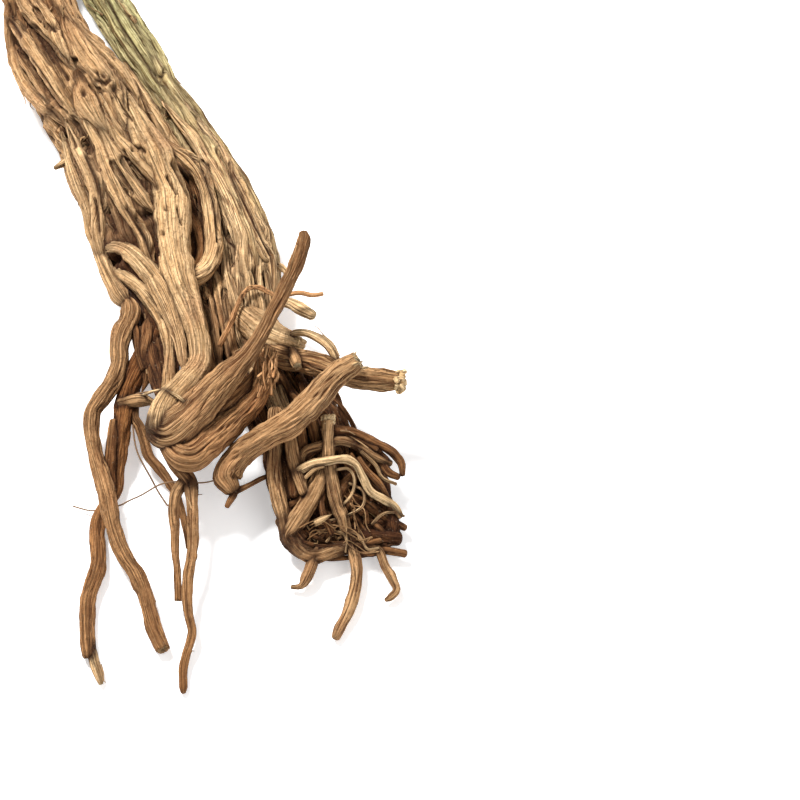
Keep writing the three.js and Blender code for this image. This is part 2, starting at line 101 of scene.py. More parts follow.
# The ribs that the eye sees on the thick stem
STEM_RIBS = {
    "left_band": [
        [-1.4, -22, 1.7], [0.6, -10, 1.8], [2.8, 1, 1.8], [3.2, 8, 2.2], [4.4, 14.6, 2.4], [7, 20.8, 2.5],
        [10, 25, 2.4], [13.8, 28.6, 2.1], [16.4, 31.6, 1.7],
    ],
    "second_rib": [
        [0.4, -20, 1.4], [1.4, -8, 1.5], [2.8, 3.5, 1.5], [5.5, 8.5, 1.8], [8.4, 12.8, 2], [11, 16.8, 2],
        [13.4, 20.6, 2], [15.4, 24, 1.9], [18, 27.4, 1.9], [21, 31, 2],
    ],
    "low_rib": [[2.8, 9.5, 0.9], [5, 14, 1.1], [8, 18.5, 1.1], [11, 23.5, 1.1], [13.6, 27.6, 1]],
    "fold": [
        [2.2, -20, 1.5], [3.8, -9, 1.6], [5.5, 0, 1.6], [8, 4, 1.8], [10.6, 7, 1.9], [12.8, 9.8, 1.8],
        [14.2, 13, 1.2],
    ],
    "second_fold": [
        [5.4, -19, 1.4], [7.2, -9, 1.5], [9, 0, 1.5], [11.4, 4, 1.7], [13.6, 8, 1.9], [15.2, 12, 2],
        [17, 15.4, 2], [19.4, 18.2, 1.8],
    ],
    "right_edge": [
        [9.6, -21, 1.9], [11, -12, 2], [13, -4, 2], [15.6, 1.5, 2.2], [18.4, 6.6, 2.4], [22, 10.8, 2.6],
        [26, 14.6, 2.6], [29.6, 18.6, 2.6], [33, 23, 2.4], [36, 28, 2],
    ],
    "broad": [
        [15, 2, 2], [17.4, 7, 2.6], [20.2, 12.6, 3.2], [23, 17, 3.6], [25.6, 20, 3.6], [28.6, 23.6, 3.2],
        [31.6, 28.4, 2.6],
    ],
    "swelling": [[19, 17, 2.4], [20.2, 21.6, 3.2], [22, 26.4, 3.6], [24.6, 30.6, 3.4], [27.6, 34.6, 2.8]],
}
# The paler slats on the thick stem's swelling
SLATS = {
    "slat": [[25, 23.4, 1.1], [27.2, 28.6, 1.4], [29.8, 33, 1.4], [32, 36.6, 1.2]],
    "second_slat": [[28, 22.4, 1.2], [29.6, 27.4, 1.6], [32.4, 32.4, 1.7], [35, 37, 1.4]],
    "third_slat": [[30.4, 22, 1.4], [32.4, 27.6, 1.8], [35.2, 32.6, 1.9], [38, 37.4, 1.6]],
}
SECOND_STEM_STRANDS = {
    "inner": [
        [37.5, 26.2, 1.4], [40, 29.5, 1.5], [42.5, 33.8, 1.5], [45, 37.5, 1.6], [47.5, 41.2, 1.6],
        [50, 43.5, 1.6], [53, 50, 1.6], [55.5, 57, 1.6], [56.5, 63.8, 1.6], [57, 69, 1.6], [58, 75, 1.6],
        [58, 80, 1.4],
    ],
    "ridge": [
        [40, 24.5, 1.3], [45, 30.5, 1.4], [48.8, 35, 1.5], [51.2, 39.5, 1.6], [54.5, 45, 1.7],
        [57, 50, 1.8], [59, 55, 1.8], [60.5, 60, 1.8], [60.5, 66, 1.8], [61, 72, 1.8], [60.5, 78, 1.6],
    ],
    "outer": [
        [43, 22, 1.2], [47.5, 28, 1.3], [51.2, 33.2, 1.5], [55, 38, 1.5], [58, 45, 1.6], [60.8, 51.2, 1.7],
        [63, 56.2, 1.8], [65.5, 61.2, 1.8], [67.2, 65, 1.8], [67.8, 71, 1.6], [67, 78, 1.8], [66, 84, 1.8],
    ],
}
# Thin upright plates low on the slim stem, with slots between them
FINS = [
    [[59.5, 63, 15, 0.8], [60.4, 67, 15.4, 0.9], [61.2, 71.5, 15.4, 0.9], [62, 76, 15, 0.8],
     [62.4, 80, 14, 0.7]],
    [[64, 71.5, 15.2, 0.9], [65.2, 75, 15, 0.9], [65.8, 79, 14, 0.9], [66.5, 83, 13.4, 0.8]],
    [[66, 66, 14.6, 0.8], [67, 70, 14.2, 0.9], [67.6, 74.5, 13.4, 0.9], [68, 79, 12.5, 0.8]],
    [[61.5, 66, 15.2, 0.8], [62.8, 71, 15.2, 0.9], [63.6, 76, 14.6, 0.9], [64, 81, 13.6, 0.8]],
    [[57, 68, 14, 0.8], [58.2, 72, 14.4, 1], [59.4, 76, 14.4, 1], [60, 80, 13.6, 0.9]],
    [[62, 58, 14.6, 0.7], [64.4, 61.6, 15, 0.7], [66.2, 64.6, 14.8, 0.8], [68.8, 66.4, 13, 0.7],
     [70.6, 68, 11.5, 0.6]],
]

# The crown

TAPROOT = [
    [29, 20, 3.8], [32, 27, 4.6], [35, 33.8, 5.2], [37.5, 38.8, 5.5], [40, 44.5, 5.5], [42, 50, 5.5],
    [42.5, 55, 5.5], [42.8, 60, 5], [43.8, 65.5, 16.5, 4.6], [45.2, 71.2, 17, 4.2],
    [47.2, 76.8, 17.8, 3.4], [49, 82, 18.8, 2.9], [50, 87, 19.6, 2.8], [49.8, 91.5, 20, 3],
    [47, 95.5, 20.4, 3.4], [43.5, 99.5, 20.4, 3.9], [41.2, 103.5, 20, 4.3], [40.6, 107.2, 19.5, 4.5],
]
# The strands that run over the crown
SURFACE_STRANDS = {
    "left_edge": [
        [15.5, 33, 1.4], [17.5, 40, 1.8], [19.2, 44.5, 2], [21, 49, 2], [22.5, 53.5, 2], [23.2, 57.5, 2],
        [24.8, 61.8, 2], [25.8, 65.5, 12.5, 2], [27.2, 69, 13, 2.1], [28.8, 72, 13.4, 2.2],
        [30.2, 74.5, 13.6, 2.5], [32.5, 77, 13, 2.4],
    ],
    "left": [
        [16, 29.6, 1.7], [18, 33.6, 1.9], [20, 37.5, 2.2], [22.5, 42, 2.4], [24.5, 47, 2.5],
        [25, 52.5, 2.5], [25.2, 58, 2.5], [26, 62.5, 2.5], [27.5, 66.5, 2.3],
    ],
    "middle": [
        [20.6, 28.6, 1.5], [22.8, 32.8, 1.6], [25, 37, 1.8], [26.5, 41.2, 1.8], [28.2, 45.5, 2],
        [30.2, 49.5, 2], [32.2, 53.2, 2], [34.5, 56.8, 2], [36.2, 60, 2], [37.2, 63.8, 1.8],
        [38.5, 67, 1.6],
    ],
    "inner_middle": [
        [23.6, 29.4, 1.5], [25.8, 33.4, 1.7], [28, 37.5, 1.8], [29.8, 41.2, 2], [31.8, 44.5, 2],
        [34, 47.5, 2], [36.2, 50.5, 2], [38.2, 53, 2],
    ],
    "right": [
        [25.8, 28, 1.7], [27.6, 31.6, 1.8], [29.5, 35, 2], [32, 38, 2.2], [35, 41.5, 2.2], [38, 45, 2.2],
        [40.5, 48.8, 2.2], [42, 52.5, 2.2],
    ],
    "knot": [
        [26, 64.5, 2.2], [27.5, 62, 2], [30.5, 62, 2.2], [33.5, 64, 2.5], [36.2, 66.8, 2.8],
        [38.8, 70.2, 2.8], [41, 74.2, 16.6, 2.8], [42.8, 78.2, 16.8, 2.5], [44.2, 82.5, 17, 2],
        [45.4, 87, 17.8, 1.6], [46.2, 93, 19, 1.4],
    ],
    "under_knot": [
        [25.5, 66, 2], [28, 67.8, 2], [31, 69.2, 2], [34, 71, 2], [36.8, 73.8, 2.2], [39, 77, 2.2],
        [41, 80.5, 13.8, 2], [42.2, 85, 14.5, 1.8], [42.5, 89.5, 15.5, 1.6], [42.2, 95, 17.5, 1.8],
        [42, 100, 19, 2],
    ],
}
# What lies in the hollows between the larger strands of the crown, tinted dark as painted shade
CROWN_FILL = [
    [[44.5, 43, 14.5, 1.6], [46.5, 49, 12.5, 1.7], [48, 54, 11, 1.6], [48.8, 60, 10, 1.5],
     [47.8, 66, 11, 1.4]],
    [[47.5, 44, 12.5, 1.3], [49.5, 50, 10.5, 1.4], [50.6, 57, 9.8, 1.3], [51.2, 64, 10, 1.2],
     [50.5, 70, 10, 1.2]],
    [[35.5, 72, 12, 1.7], [37.2, 78, 11.5, 1.6], [38.8, 84, 12, 1.4], [40, 90, 13, 1.2], [41, 96, 15, 1]],
    [[37, 79, 12, 1.5], [36.6, 84, 13.5, 1.8], [35.8, 89, 13, 1.8], [36.8, 94, 12, 1.2],
     [35.5, 98, 11, 1]],
    [[38.5, 80, 11, 1.3], [39.6, 87, 11.5, 1.3], [40.6, 94, 13, 1.2], [41, 100, 15, 1]],
    [[46.5, 79, 15, 1.2], [47, 85, 15.5, 1.2], [46.6, 91, 17, 1.1], [45, 96, 18.5, 0.9]],
]
# The paler strands between the taproot and the slim stem
PALE_FILL = [
    [[50, 66, 9.5, 1.6], [51.5, 73, 10.5, 1.6], [53, 79, 11, 1.5], [54, 85, 11, 1.4], [55, 92, 11.5, 1.2]],
    [[53.5, 67, 10.5, 1.4], [54.8, 73, 11.5, 1.5], [56, 79, 12, 1.5], [57.4, 86, 12, 1.4],
     [59, 93, 12.5, 1.1]],
    [[48, 71, 11.5, 1.5], [49.6, 78, 12.5, 1.4], [51.5, 85, 13, 1.4], [53, 92, 14, 1.2], [55, 98, 15, 1]],
    [[51, 75, 10, 1.7], [52.8, 82, 10.5, 1.6], [54, 89, 10.5, 1.4], [56, 96, 12, 1.2]],
    [[56, 72, 12.6, 1.1], [57, 79, 13, 1.2], [58, 86, 13.4, 1.2], [60, 92, 13.6, 1]],
]
LOOP = [
    [39.5, 34.5, 17, 2], [43.8, 37.5, 18, 2.2], [47.5, 40.2, 17.6, 2.2], [50.2, 43.8, 16.6, 2],
    [51.8, 48, 15.8, 2], [52.8, 53, 15.3, 2.1], [53.2, 58, 15, 2.2], [53.5, 62, 15, 2.5],
    [52.5, 65.8, 15, 2.5], [50.5, 68.2, 15.2, 2.6], [47.5, 69.5, 15.6, 2.5], [45, 68.8, 16, 2.2],
]
INNER_LOOP = [
    [46.5, 51, 12, 1.3], [48.2, 55, 11.2, 1.5], [49.8, 59.5, 11, 1.5], [50, 63.8, 11, 1.3],
    [49, 67, 12, 1.3],
]

# The crossing roots

# From the taproot's turn back up over the crown
RISING_ROOT = [
    [40, 107, 19, 4.2], [42.5, 108, 19.5, 5], [46, 105.5, 21, 5], [49.5, 102, 22.5, 4.8],
    [53, 98.2, 24, 4.5], [56, 95, 25, 3.8], [59, 92, 26, 3], [61.8, 89, 27, 2.4], [64.2, 85.5, 28, 2],
    [66.2, 82, 28.5, 1.9], [68.2, 78, 29, 1.9], [70.2, 74.2, 29.5, 1.9], [72, 70.5, 30, 1.9],
    [73.8, 66.8, 30.5, 1.9], [75.2, 63, 31, 2], [76, 60, 31, 1.8], [75.8, 58.2, 31, 1.2],
]
BROKEN_ROOT = [
    [43, 109.5, 18, 3.2], [44.5, 113, 18, 3.8], [48, 114, 17.8, 4], [51.5, 111.2, 18, 4],
    [55, 108.2, 18, 4], [58.5, 105, 18.2, 3.7], [61.8, 101.8, 18.8, 3.3], [64.2, 99, 19.2, 2.8],
    [65.6, 95.5, 20.5, 2.9], [66.2, 91.5, 21.5, 2.7], [67, 89.2, 22, 1.5],
]
HEEL_ROOT = [
    [57.8, 122, 12, 2.4], [56.5, 119.5, 12.4, 3.4], [57.8, 116.5, 13.5, 3.5], [60.8, 113, 16, 3.3],
    [64.2, 110.5, 19, 3.3], [68, 108.2, 21, 3.5], [72, 106, 22, 3.6], [75.8, 102.8, 22.5, 3.7],
    [79, 99.5, 23, 3.5], [82, 96, 24, 3.4], [84.8, 93.2, 25, 3.2], [87.5, 91.5, 26, 3],
    [89.5, 90.2, 27, 2.5],
]
CROSS_ROOT = [
    [63, 86, 11, 3], [67.5, 88, 15.5, 2.8], [71.2, 89.5, 17.5, 3], [75, 90.2, 18, 3],
    [79.5, 91.2, 18.5, 3], [85, 93.2, 18.6, 3], [90.5, 94.5, 19, 3], [95.5, 95, 19.5, 3],
    [100, 95.2, 20, 2.5],
]
LUMP = [
    [61, 78.5, 11.5, 3.2], [63.5, 81, 14.4, 4.2], [67, 83.6, 16, 4.2], [70.4, 85.2, 16.6, 3.6],
    [73.2, 86, 17, 2.8], [74.8, 86.4, 17, 2],
]
SIDE_STUB = [[73, 88, 19, 1.5], [74, 90.4, 20.4, 1.5], [74.4, 91.6, 21, 1.2]]
THIN_ORANGE_ROOT = [
    [55, 86.2, 17, 0.7], [56.5, 83.2, 18, 0.75], [58, 80, 18, 0.75], [59.2, 76.8, 18, 0.7],
    [60.8, 73.5, 18, 0.65], [62.8, 71.8, 18, 0.65], [65.2, 72, 18, 0.65], [67.5, 73.2, 18, 0.6],
    [69.8, 74.2, 18, 0.6], [72.5, 73.5, 18, 0.6], [75, 73.2, 18, 0.65], [78, 73.8, 17, 0.65],
    [80.5, 73.5, 16, 0.6],
]
# What fills the gap between the taproot's turn and the broken root
BETWEEN_ROOTS = [
    [[46, 111, 16, 2], [50, 108.4, 16.8, 2.6], [54, 104.6, 17.8, 2.8], [58, 100.6, 19, 2.6],
     [62, 96.6, 20, 2.2], [65, 92.6, 20.4, 1.6]],
    [[44, 109.5, 15.5, 2.4], [48, 109.5, 15, 2.6], [52, 107, 15.6, 2.4], [56, 103.5, 16.6, 2],
     [60, 99, 17.6, 1.8]],
]
HEEL_TAILS = [
    [[57.5, 120, 12.4, 1.5], [58.6, 123, 11.6, 1.1], [57.6, 125, 11, 0.9], [56.8, 126.6, 10.6, 0.7]],
    [[58.6, 123, 11.6, 0.9], [62, 121.4, 11, 0.8], [65.4, 119.6, 10.4, 0.7], [68.4, 118.4, 9.6, 0.5]],
]

# The rootlets

LEFT_ROOTLET = [
    [31, 73.5, 13, 2.7], [32.5, 77.5, 14, 2.6], [32, 80.5, 13.6, 2.5], [30.5, 83.8, 13, 2.7],
    [29.8, 87, 12.5, 2.5], [29.8, 90.5, 12, 2.5], [29, 94, 11.5, 2.5], [27.2, 97.2, 11, 2.4],
    [25, 100.2, 10, 2.3], [23.2, 103.2, 9, 2.1], [22.8, 107, 8.3, 2.1], [23.2, 110.8, 7.8, 2.1],
    [24.2, 115, 7.4, 2.1], [25.5, 119.2, 7, 2.3], [26.8, 123.8, 6.7, 2.3], [27.5, 128, 6.2, 2.3],
    [28.5, 132.5, 5.4, 2.1], [30, 136.8, 4.6, 2.1], [31.8, 140.2, 4, 2.1], [34, 143.5, 3.4, 2.1],
    [35.8, 147.5, 2.9, 2.1], [37, 151.8, 2.5, 2.1], [38.2, 156, 2.2, 2.1], [39.5, 159.5, 2, 2.1],
    [40.8, 162.5, 1.9, 1.9],
]
PEELED_TIP = [
    [22.6, 161, 2, 1.1], [23.4, 164.5, 1.8, 1.4], [24.2, 167.2, 1.6, 1.35], [24.9, 169.6, 1.4, 1],
    [25.3, 171, 1.2, 0.6],
]
CROSSING_ROOTLET = [
    [40, 77.5, 9, 2.6], [38, 82.5, 11.5, 2.5], [36.8, 87, 11.5, 2.7], [35, 91.2, 11, 2.7],
    [33, 95.5, 10, 2.7], [31.5, 99.5, 9, 2.7], [30.8, 103.8, 8, 2.6], [30.2, 108.2, 7, 2.5],
    [29.5, 113, 5.4, 2.4], [29.2, 117.5, 3.8, 2], [28.8, 122, 2.3, 2], [27, 125.8, 1.9, 2],
    [25, 129.2, 1.9, 2], [24.2, 133.2, 1.9, 2], [24.5, 137.5, 2, 2.1], [24.5, 141.5, 2.1, 2.2],
    [23.5, 145, 2.1, 2.2], [22.2, 149, 2, 2.1], [21.8, 153, 1.9, 2], [21.8, 157, 1.8, 1.9],
    [22, 160.8, 1.9, 2], [22.2, 163.6, 1.9, 1.9], [22.3, 164.4, 1.6, 1.5],
]
SPUR = [
    [28.4, 105, 9.4, 1], [28.1, 109, 8.6, 1.5], [27.7, 114, 7, 1.6], [27.4, 119, 5, 1.5],
    [27.6, 124, 3, 1.2],
]
STUB = [[30.5, 101, 9.5, 1.8], [33.2, 100.2, 10.4, 1.8], [35.8, 100, 11, 1.8], [38, 100.5, 11, 1]]
SHORT_ROOTLET = [
    [34, 97, 9.5, 1.3], [33.5, 103.8, 8, 1.3], [35, 107, 7, 1.3], [36.2, 110.8, 6, 1.3],
    [37.2, 114, 5, 1.4], [39.5, 116.8, 4, 1.4], [41.8, 119.8, 3, 1.3], [43.8, 123, 2.5, 1.1],
    [45.2, 127, 2, 1], [46.5, 132, 1.5, 1], [47, 136.8, 1.2, 0.7],
]
FORK = [
    [41.2, 110, 17.5, 2.2], [43, 114.5, 15.5, 1.9], [45.2, 117.5, 14, 2], [47.5, 120.5, 12.5, 2],
    [48, 123.8, 11, 1.6],
]
FORK_LEFT = [
    [46.5, 119.5, 12.8, 1.5], [44, 123.5, 11, 1.5], [43.5, 127.5, 10, 1.5], [43.8, 132.5, 8.5, 1.3],
    [43.8, 137.5, 7, 1.1], [44.2, 142.5, 5.5, 1], [44.5, 146.8, 4.5, 1], [44.5, 150.2, 3.5, 1],
]
FORK_RIGHT = [
    [47.5, 120.5, 12.5, 1.8], [48, 125, 11.3, 1.5], [48.2, 130, 10, 1.5], [48.2, 135.8, 8.6, 1.5],
    [47.8, 140, 7.6, 1.4], [47, 144.5, 6.6, 1.4], [46.8, 149.5, 5.5, 1.4], [47.2, 153.8, 4.5, 1.2],
    [48, 157.5, 3.6, 1.2], [47.5, 160.5, 3, 1.2], [46.5, 163.8, 2.3, 1.2], [45.8, 167.5, 1.8, 1.1],
    [45.8, 171.5, 1.3, 1.1], [45.8, 173, 1.1, 0.7],
]
BRIDGING_ROOTLET = [
    [35.8, 98.8, 12.5, 0.4], [38, 97.9, 17, 0.4], [40, 97.6, 21, 0.4], [42, 97.9, 23.8, 0.4],
    [44, 98.8, 25.2, 0.4], [45.8, 100.2, 25.6, 0.4], [47.2, 101.8, 25, 0.3],
]

# The tangle

TANGLE = {
    "far_left": [
        [69, 103, 18, 2.2], [68.6, 111.2, 15, 1.8], [68.5, 117.5, 12.5, 1.8], [69.5, 123.8, 10, 2],
        [71, 129.5, 7.5, 2], [72.2, 135, 5.5, 2], [75, 138, 4.5, 1.8],
    ],
    "left": [[72, 105, 19, 2], [73, 112.5, 15.5, 1.7], [74.2, 117.5, 13, 1.7], [76, 123, 12, 1.4]],
    "thick": [
        [82.5, 110, 14.5, 2], [81.2, 115.5, 13, 2.2], [79.5, 120.8, 12, 2.3], [77, 125.8, 10, 2.5],
        [74, 130.5, 8, 2.5], [72, 134, 6, 2.3], [74, 136.5, 5, 2], [77.5, 137.8, 4.5, 1.8],
    ],
    "high": [
        [75, 117, 12.5, 1.2], [76.2, 113, 15, 1.2], [80, 111.5, 16, 1.2], [85, 110, 16, 1.2],
        [89.5, 111.5, 14, 1.2], [93.8, 114.2, 12, 1.2], [97.5, 115.8, 10, 0.9],
    ],
    "base": [
        [70.8, 130, 7, 2], [74.5, 137, 5, 2.1], [79, 139, 4.2, 2.1], [83.8, 137.5, 4.4, 2],
        [88, 136.2, 4.4, 1.8],
    ],
    "down": [
        [87.5, 135, 5, 1.7], [89, 140.5, 4, 1.6], [89.2, 145, 3, 1.6], [88.2, 149.5, 2.4, 1.6],
        [86.8, 153.5, 2, 1.5], [85, 157, 1.7, 1.5], [84, 159.2, 1.5, 1.2],
    ],
    "down_left": [
        [79, 137.8, 4.5, 1.7], [77.8, 141.5, 4, 1.6], [76.5, 144.5, 3, 1.5], [75.2, 146.5, 2, 0.9],
        [73, 146.8, 1.4, 0.6],
    ],
    "down_right": [
        [87, 136, 4.6, 1.3], [91.2, 136.8, 4.4, 1.2], [94.5, 137.5, 4, 1.2], [96.2, 141.5, 3, 1.2],
        [98.2, 145, 2.5, 1.1], [99.2, 147.5, 2, 1], [97.5, 149.5, 1.6, 0.9], [96.5, 150, 1.4, 0.6],
    ],
}
UPRIGHT_ROOT = [
    [82, 105.2, 19, 1.7], [82, 110, 17, 1.6], [82.2, 115, 15, 1.6], [83, 120.5, 12.5, 1.8],
    [84.2, 125.8, 10, 1.8], [85.8, 130.2, 7.5, 1.8], [86.8, 134, 5.5, 1.6],
]
LONG_ROOTLET = [
    [74, 118, 13, 1.2], [78, 116, 15.5, 1.2], [82, 115.2, 17, 1.2], [86.2, 114.8, 16.5, 1.1],
    [89, 116.2, 15, 1.1], [90.8, 119.5, 13, 1.1], [92.5, 122.8, 11, 1.1], [95.8, 124.8, 9, 1.1],
    [98.5, 126.5, 7, 1.1], [100, 129, 5, 0.9],
]
PALE_STUB = [[78.6, 130.8, 10.5, 0.9], [81, 129.6, 11, 0.8], [83, 128.6, 11.2, 0.5]]
SHOOTS = [
    [[71, 86, 17, 1.3], [73.5, 83.5, 19.5, 1.1], [76.2, 83.2, 21, 1.1], [79, 84.2, 21, 1.2],
     [81.5, 85.8, 20.6, 1.2], [83.2, 88, 20.2, 1.1], [84.5, 91, 20, 1]],
    [[66, 74, 9, 1.5], [72.5, 75.8, 11.5, 1.5], [75, 77.2, 12, 1.7], [78, 78.8, 12.6, 1.5]],
    [[65.5, 62, 9, 1], [68.5, 65.8, 10, 0.9], [70.5, 66.8, 10, 0.8], [73, 70, 10, 0.7]],
    [[17.5, 40, 13, 1.2], [15.2, 41.2, 13, 0.9], [13.8, 42, 13, 0.6]],
]
# Strands behind and under the others, darkened as painted shade
DEEP_TANGLE = [
    [[67, 108, 17, 1.6], [67, 111.2, 14.5, 1.5], [68, 117.5, 11, 1.5], [69.8, 123.8, 8, 1.5],
     [71.2, 128.8, 6, 1.4]],
    [[70, 107, 17, 1.5], [69.5, 111.2, 13, 1.4], [70, 117.5, 10, 1.4], [71.5, 122.5, 8, 1.3],
     [73, 127, 6, 1]],
    [[75, 106, 18, 1.6], [75.5, 111, 14, 1.5], [76, 116, 11, 1.5], [77.5, 121, 9, 1.4], [78, 126, 7, 1.2]],
    [[78, 105, 18, 1.4], [79, 110, 13, 1.4], [79.5, 116, 10, 1.4], [81, 122, 8, 1.4], [82, 128, 6, 1.4],
     [82, 135, 5, 1.4]],
    [[75.8, 119.5, 11, 1.1], [75.8, 116.2, 12.5, 1.2], [77, 113.8, 14, 1.2], [80, 112, 14.5, 1.2],
     [84, 112, 13, 1.1]],
    [[80, 103, 18, 1.2], [83.8, 107.5, 17, 1.4], [87, 107.6, 16, 1.3], [90, 108.6, 15, 1.2],
     [93.5, 110.6, 13.5, 1.3], [97.5, 112.5, 12, 1.2], [100.2, 115.5, 10, 1.1], [100.6, 118.6, 9, 0.8]],
    [[82, 109, 14, 1.1], [84, 110.6, 14.5, 1.2], [88, 110.6, 14.5, 1.2], [91.2, 113, 12.5, 1.2],
     [95, 115, 10.5, 1.2], [97, 118, 9.5, 1.1], [99.5, 119.2, 9, 0.9]],
    [[84, 127, 9, 1.3], [85.5, 122, 10.5, 1.4], [88, 119.5, 11, 1.4], [90.5, 118, 11, 1],
     [92, 116, 11, 0.8]],
    [[71.5, 127, 7.5, 0.9], [74.2, 125.2, 8.5, 1], [76.8, 123.8, 9.5, 0.9]],
    [[84, 122, 9.5, 1.5], [89.5, 125, 7.5, 1.5], [93.8, 127.4, 6, 1.3], [97.5, 130, 4.5, 1.2],
     [101.2, 132, 3.2, 0.9]],
    [[86, 136, 4.4, 1.4], [91.2, 137.6, 3.8, 1.3], [96.2, 137.6, 3.2, 1.2], [101.2, 138.4, 2.6, 1]],
    [[64, 97, 9, 1.6], [66, 102, 9, 1.6], [68.5, 106.5, 10, 1.6], [71, 111, 10, 1.4]],
    [[60, 92, 8, 1.8], [62.5, 98, 9, 1.8], [64, 104, 10, 1.7], [66, 110, 10, 1.4]],
    [[66, 90, 9, 1.6], [71, 96, 11, 1.6], [75, 101, 13, 1.6], [78, 106, 13, 1.5], [80, 112, 11, 1.4]],
    [[57, 86, 6, 2], [59, 92, 7.5, 1.8], [60.5, 98, 9, 1.6], [62, 104, 10, 1.4], [66, 110, 11, 1]],
    [[73, 120, 10, 1.1], [78, 124, 8, 1.1], [82, 129, 6, 1.1], [84, 136, 4.5, 1]],
    [[89, 120, 9.5, 0.9], [87, 126, 7, 0.9], [90, 131, 5.5, 0.9], [93.5, 136, 4, 0.8]],
]
# Strands behind the tangle, their dark tint painted shade in its depths
DARK_MASS = [
    [[66, 103, 7, 2.6], [69.5, 113, 6.6, 3.2], [72, 123, 5, 3], [76, 131.4, 4, 2.8]],
    [[71, 104, 7, 3], [75.4, 114, 6, 3.4], [79, 124, 5, 3.4], [81, 132, 4, 3]],
    [[77, 104, 9, 3], [83, 113, 7, 3.4], [87, 123, 5, 3.2], [89.4, 131, 4, 2.6]],
    [[84, 108.6, 10, 2], [90.6, 113.6, 8, 2.8], [95, 121, 5.4, 2.4], [97, 128, 4, 1.8]],
    [[75, 132, 3.6, 2.4], [84, 133.6, 3.4, 2.6], [93, 132, 3.2, 2.4], [98.6, 129.6, 3, 1.6]],
    [[91, 117, 6.6, 2], [95, 123.6, 5, 2.6], [97.6, 130, 3.6, 2.4], [98.4, 134.6, 2.6, 1.6]],
    [[86, 134.6, 3.4, 2.4], [93, 134.2, 3.2, 2.6], [99.4, 134.6, 3, 2]],
    [[34.6, 76, 8, 2.2], [36.4, 84, 9, 2.6], [38, 91, 11, 2.2], [39.4, 97, 13, 1.6]],
    [[42, 82, 12.4, 2], [42.8, 89, 14, 2.2], [43, 95, 15.6, 1.8]],
    [[72, 86, 11, 2], [76, 93, 11, 2.4], [79, 101, 10, 2]],
]
# Thin pale rootlets in front of the tangle
FINE_TANGLE = [
    [[91.2, 118.4, 11.5, 0.5], [94, 120, 10.6, 0.5], [95.8, 122, 9.6, 0.5], [97.6, 126, 7.4, 0.5],
     [100, 129.4, 5.6, 0.45]],
    [[87.4, 120.8, 12, 0.45], [90.8, 122.8, 11, 0.45], [90.6, 126.6, 9.6, 0.45], [86.4, 129, 8.6, 0.4],
     [82.4, 130.2, 8, 0.35]],
    [[84.6, 134.6, 6.6, 0.4], [87.4, 133, 7, 0.4], [90, 134.2, 6.4, 0.4], [91.8, 137.2, 5.4, 0.4],
     [94.6, 137, 5.2, 0.35]],
    [[81.6, 135.4, 6.6, 0.35], [84, 133, 7.6, 0.35], [86.6, 134.4, 7, 0.35], [86.4, 138, 5.6, 0.3]],
    [[76.4, 119.4, 14, 0.5], [78.6, 117.4, 15.4, 0.5], [81, 116.6, 16.4, 0.45]],
    [[84, 117.4, 14.6, 0.45], [87, 117.2, 14.4, 0.45], [88.6, 119.6, 13.4, 0.45], [88, 123.4, 11.4, 0.4],
     [85.6, 126.4, 10, 0.35]],
    [[90.4, 113, 14.4, 0.5], [93.8, 116.2, 12.6, 0.5], [95.6, 119.4, 11, 0.45], [99, 121, 9.6, 0.4]],
    [[93, 131, 6, 0.4], [95.4, 128.6, 7, 0.4], [98, 128, 6.6, 0.4], [101, 129, 5.4, 0.35]],
]
# A route as [across, down, height], how many strands follow it, how far they stray,
# and their thinnest and thickest radius
BUNDLES = [
    ([[64, 90, 9], [67, 100, 11], [69, 110, 11], [70.5, 120, 9], [73, 132, 5.5]], 12, 2.4, (0.8, 1.5)),
    ([[66, 86, 8], [72, 98, 9], [76, 110, 8.5], [79, 122, 6.5], [83, 134, 4.5]], 16, 4.4, (0.6, 1.3)),
    ([[74, 92, 12], [81, 102, 11], [86, 111, 9.5], [90, 121, 7], [92, 131, 4.5]], 14, 3.8, (0.5, 1.2)),
    ([[70, 124, 7], [73, 131, 5.5], [77, 135.6, 4.5], [84, 137, 4]], 12, 2.2, (0.4, 0.9)),
    ([[80, 107, 14], [88, 108.4, 14], [95, 112, 12], [99, 117, 9.5]], 6, 1.8, (0.5, 0.9)),
    ([[72, 134, 4.4], [79, 136.4, 4.2], [87, 136.6, 4.2], [95, 135.4, 4], [100.5, 133, 3.6]],
     14, 2, (0.4, 0.8)),
    ([[75, 118, 8], [83, 122.6, 7], [91, 127.6, 5.4], [98, 132, 4]], 14, 3, (0.4, 1)),
    ([[86, 112, 12], [90, 118, 10], [94, 124, 7.4], [97, 130, 5]], 9, 2.6, (0.4, 0.9)),
    ([[56, 80, 6], [59, 90, 7], [63, 100, 8], [67, 110, 8]], 12, 3.4, (0.8, 1.6)),
    ([[60, 90, 8], [63, 99, 10], [65.5, 108, 10.5], [67.5, 117, 9]], 10, 1.9, (0.7, 1.3)),
    ([[68, 92, 13], [71, 100, 13], [73, 108, 12.5], [75, 117, 10]], 8, 1.9, (0.6, 1.1)),
    ([[78, 136, 4.4], [83, 131, 5], [86, 124, 7], [88, 116, 10]], 8, 2.4, (0.4, 0.8)),
    ([[36, 76, 10], [37.4, 84, 12], [39, 92, 13.6], [40.6, 100, 16.5], [41.6, 106, 17]], 8, 1.4, (0.5, 1)),
    ([[34, 80, 12], [35.6, 86, 12.6], [37, 92, 13], [38, 96, 13]], 7, 1.8, (0.4, 0.8)),
]
# Routes that hair-thin rootlets follow, as [across, down, height]
THREADS = [
    [[77, 133, 7], [82, 131, 8.4], [87, 133, 8], [92, 136, 6.4], [97, 135, 5.4]],
    [[86, 123, 11], [89, 127.6, 9.4], [90, 132, 7.4], [93, 136.6, 5.6]],
]

# The torn end, the hair roots and the slits

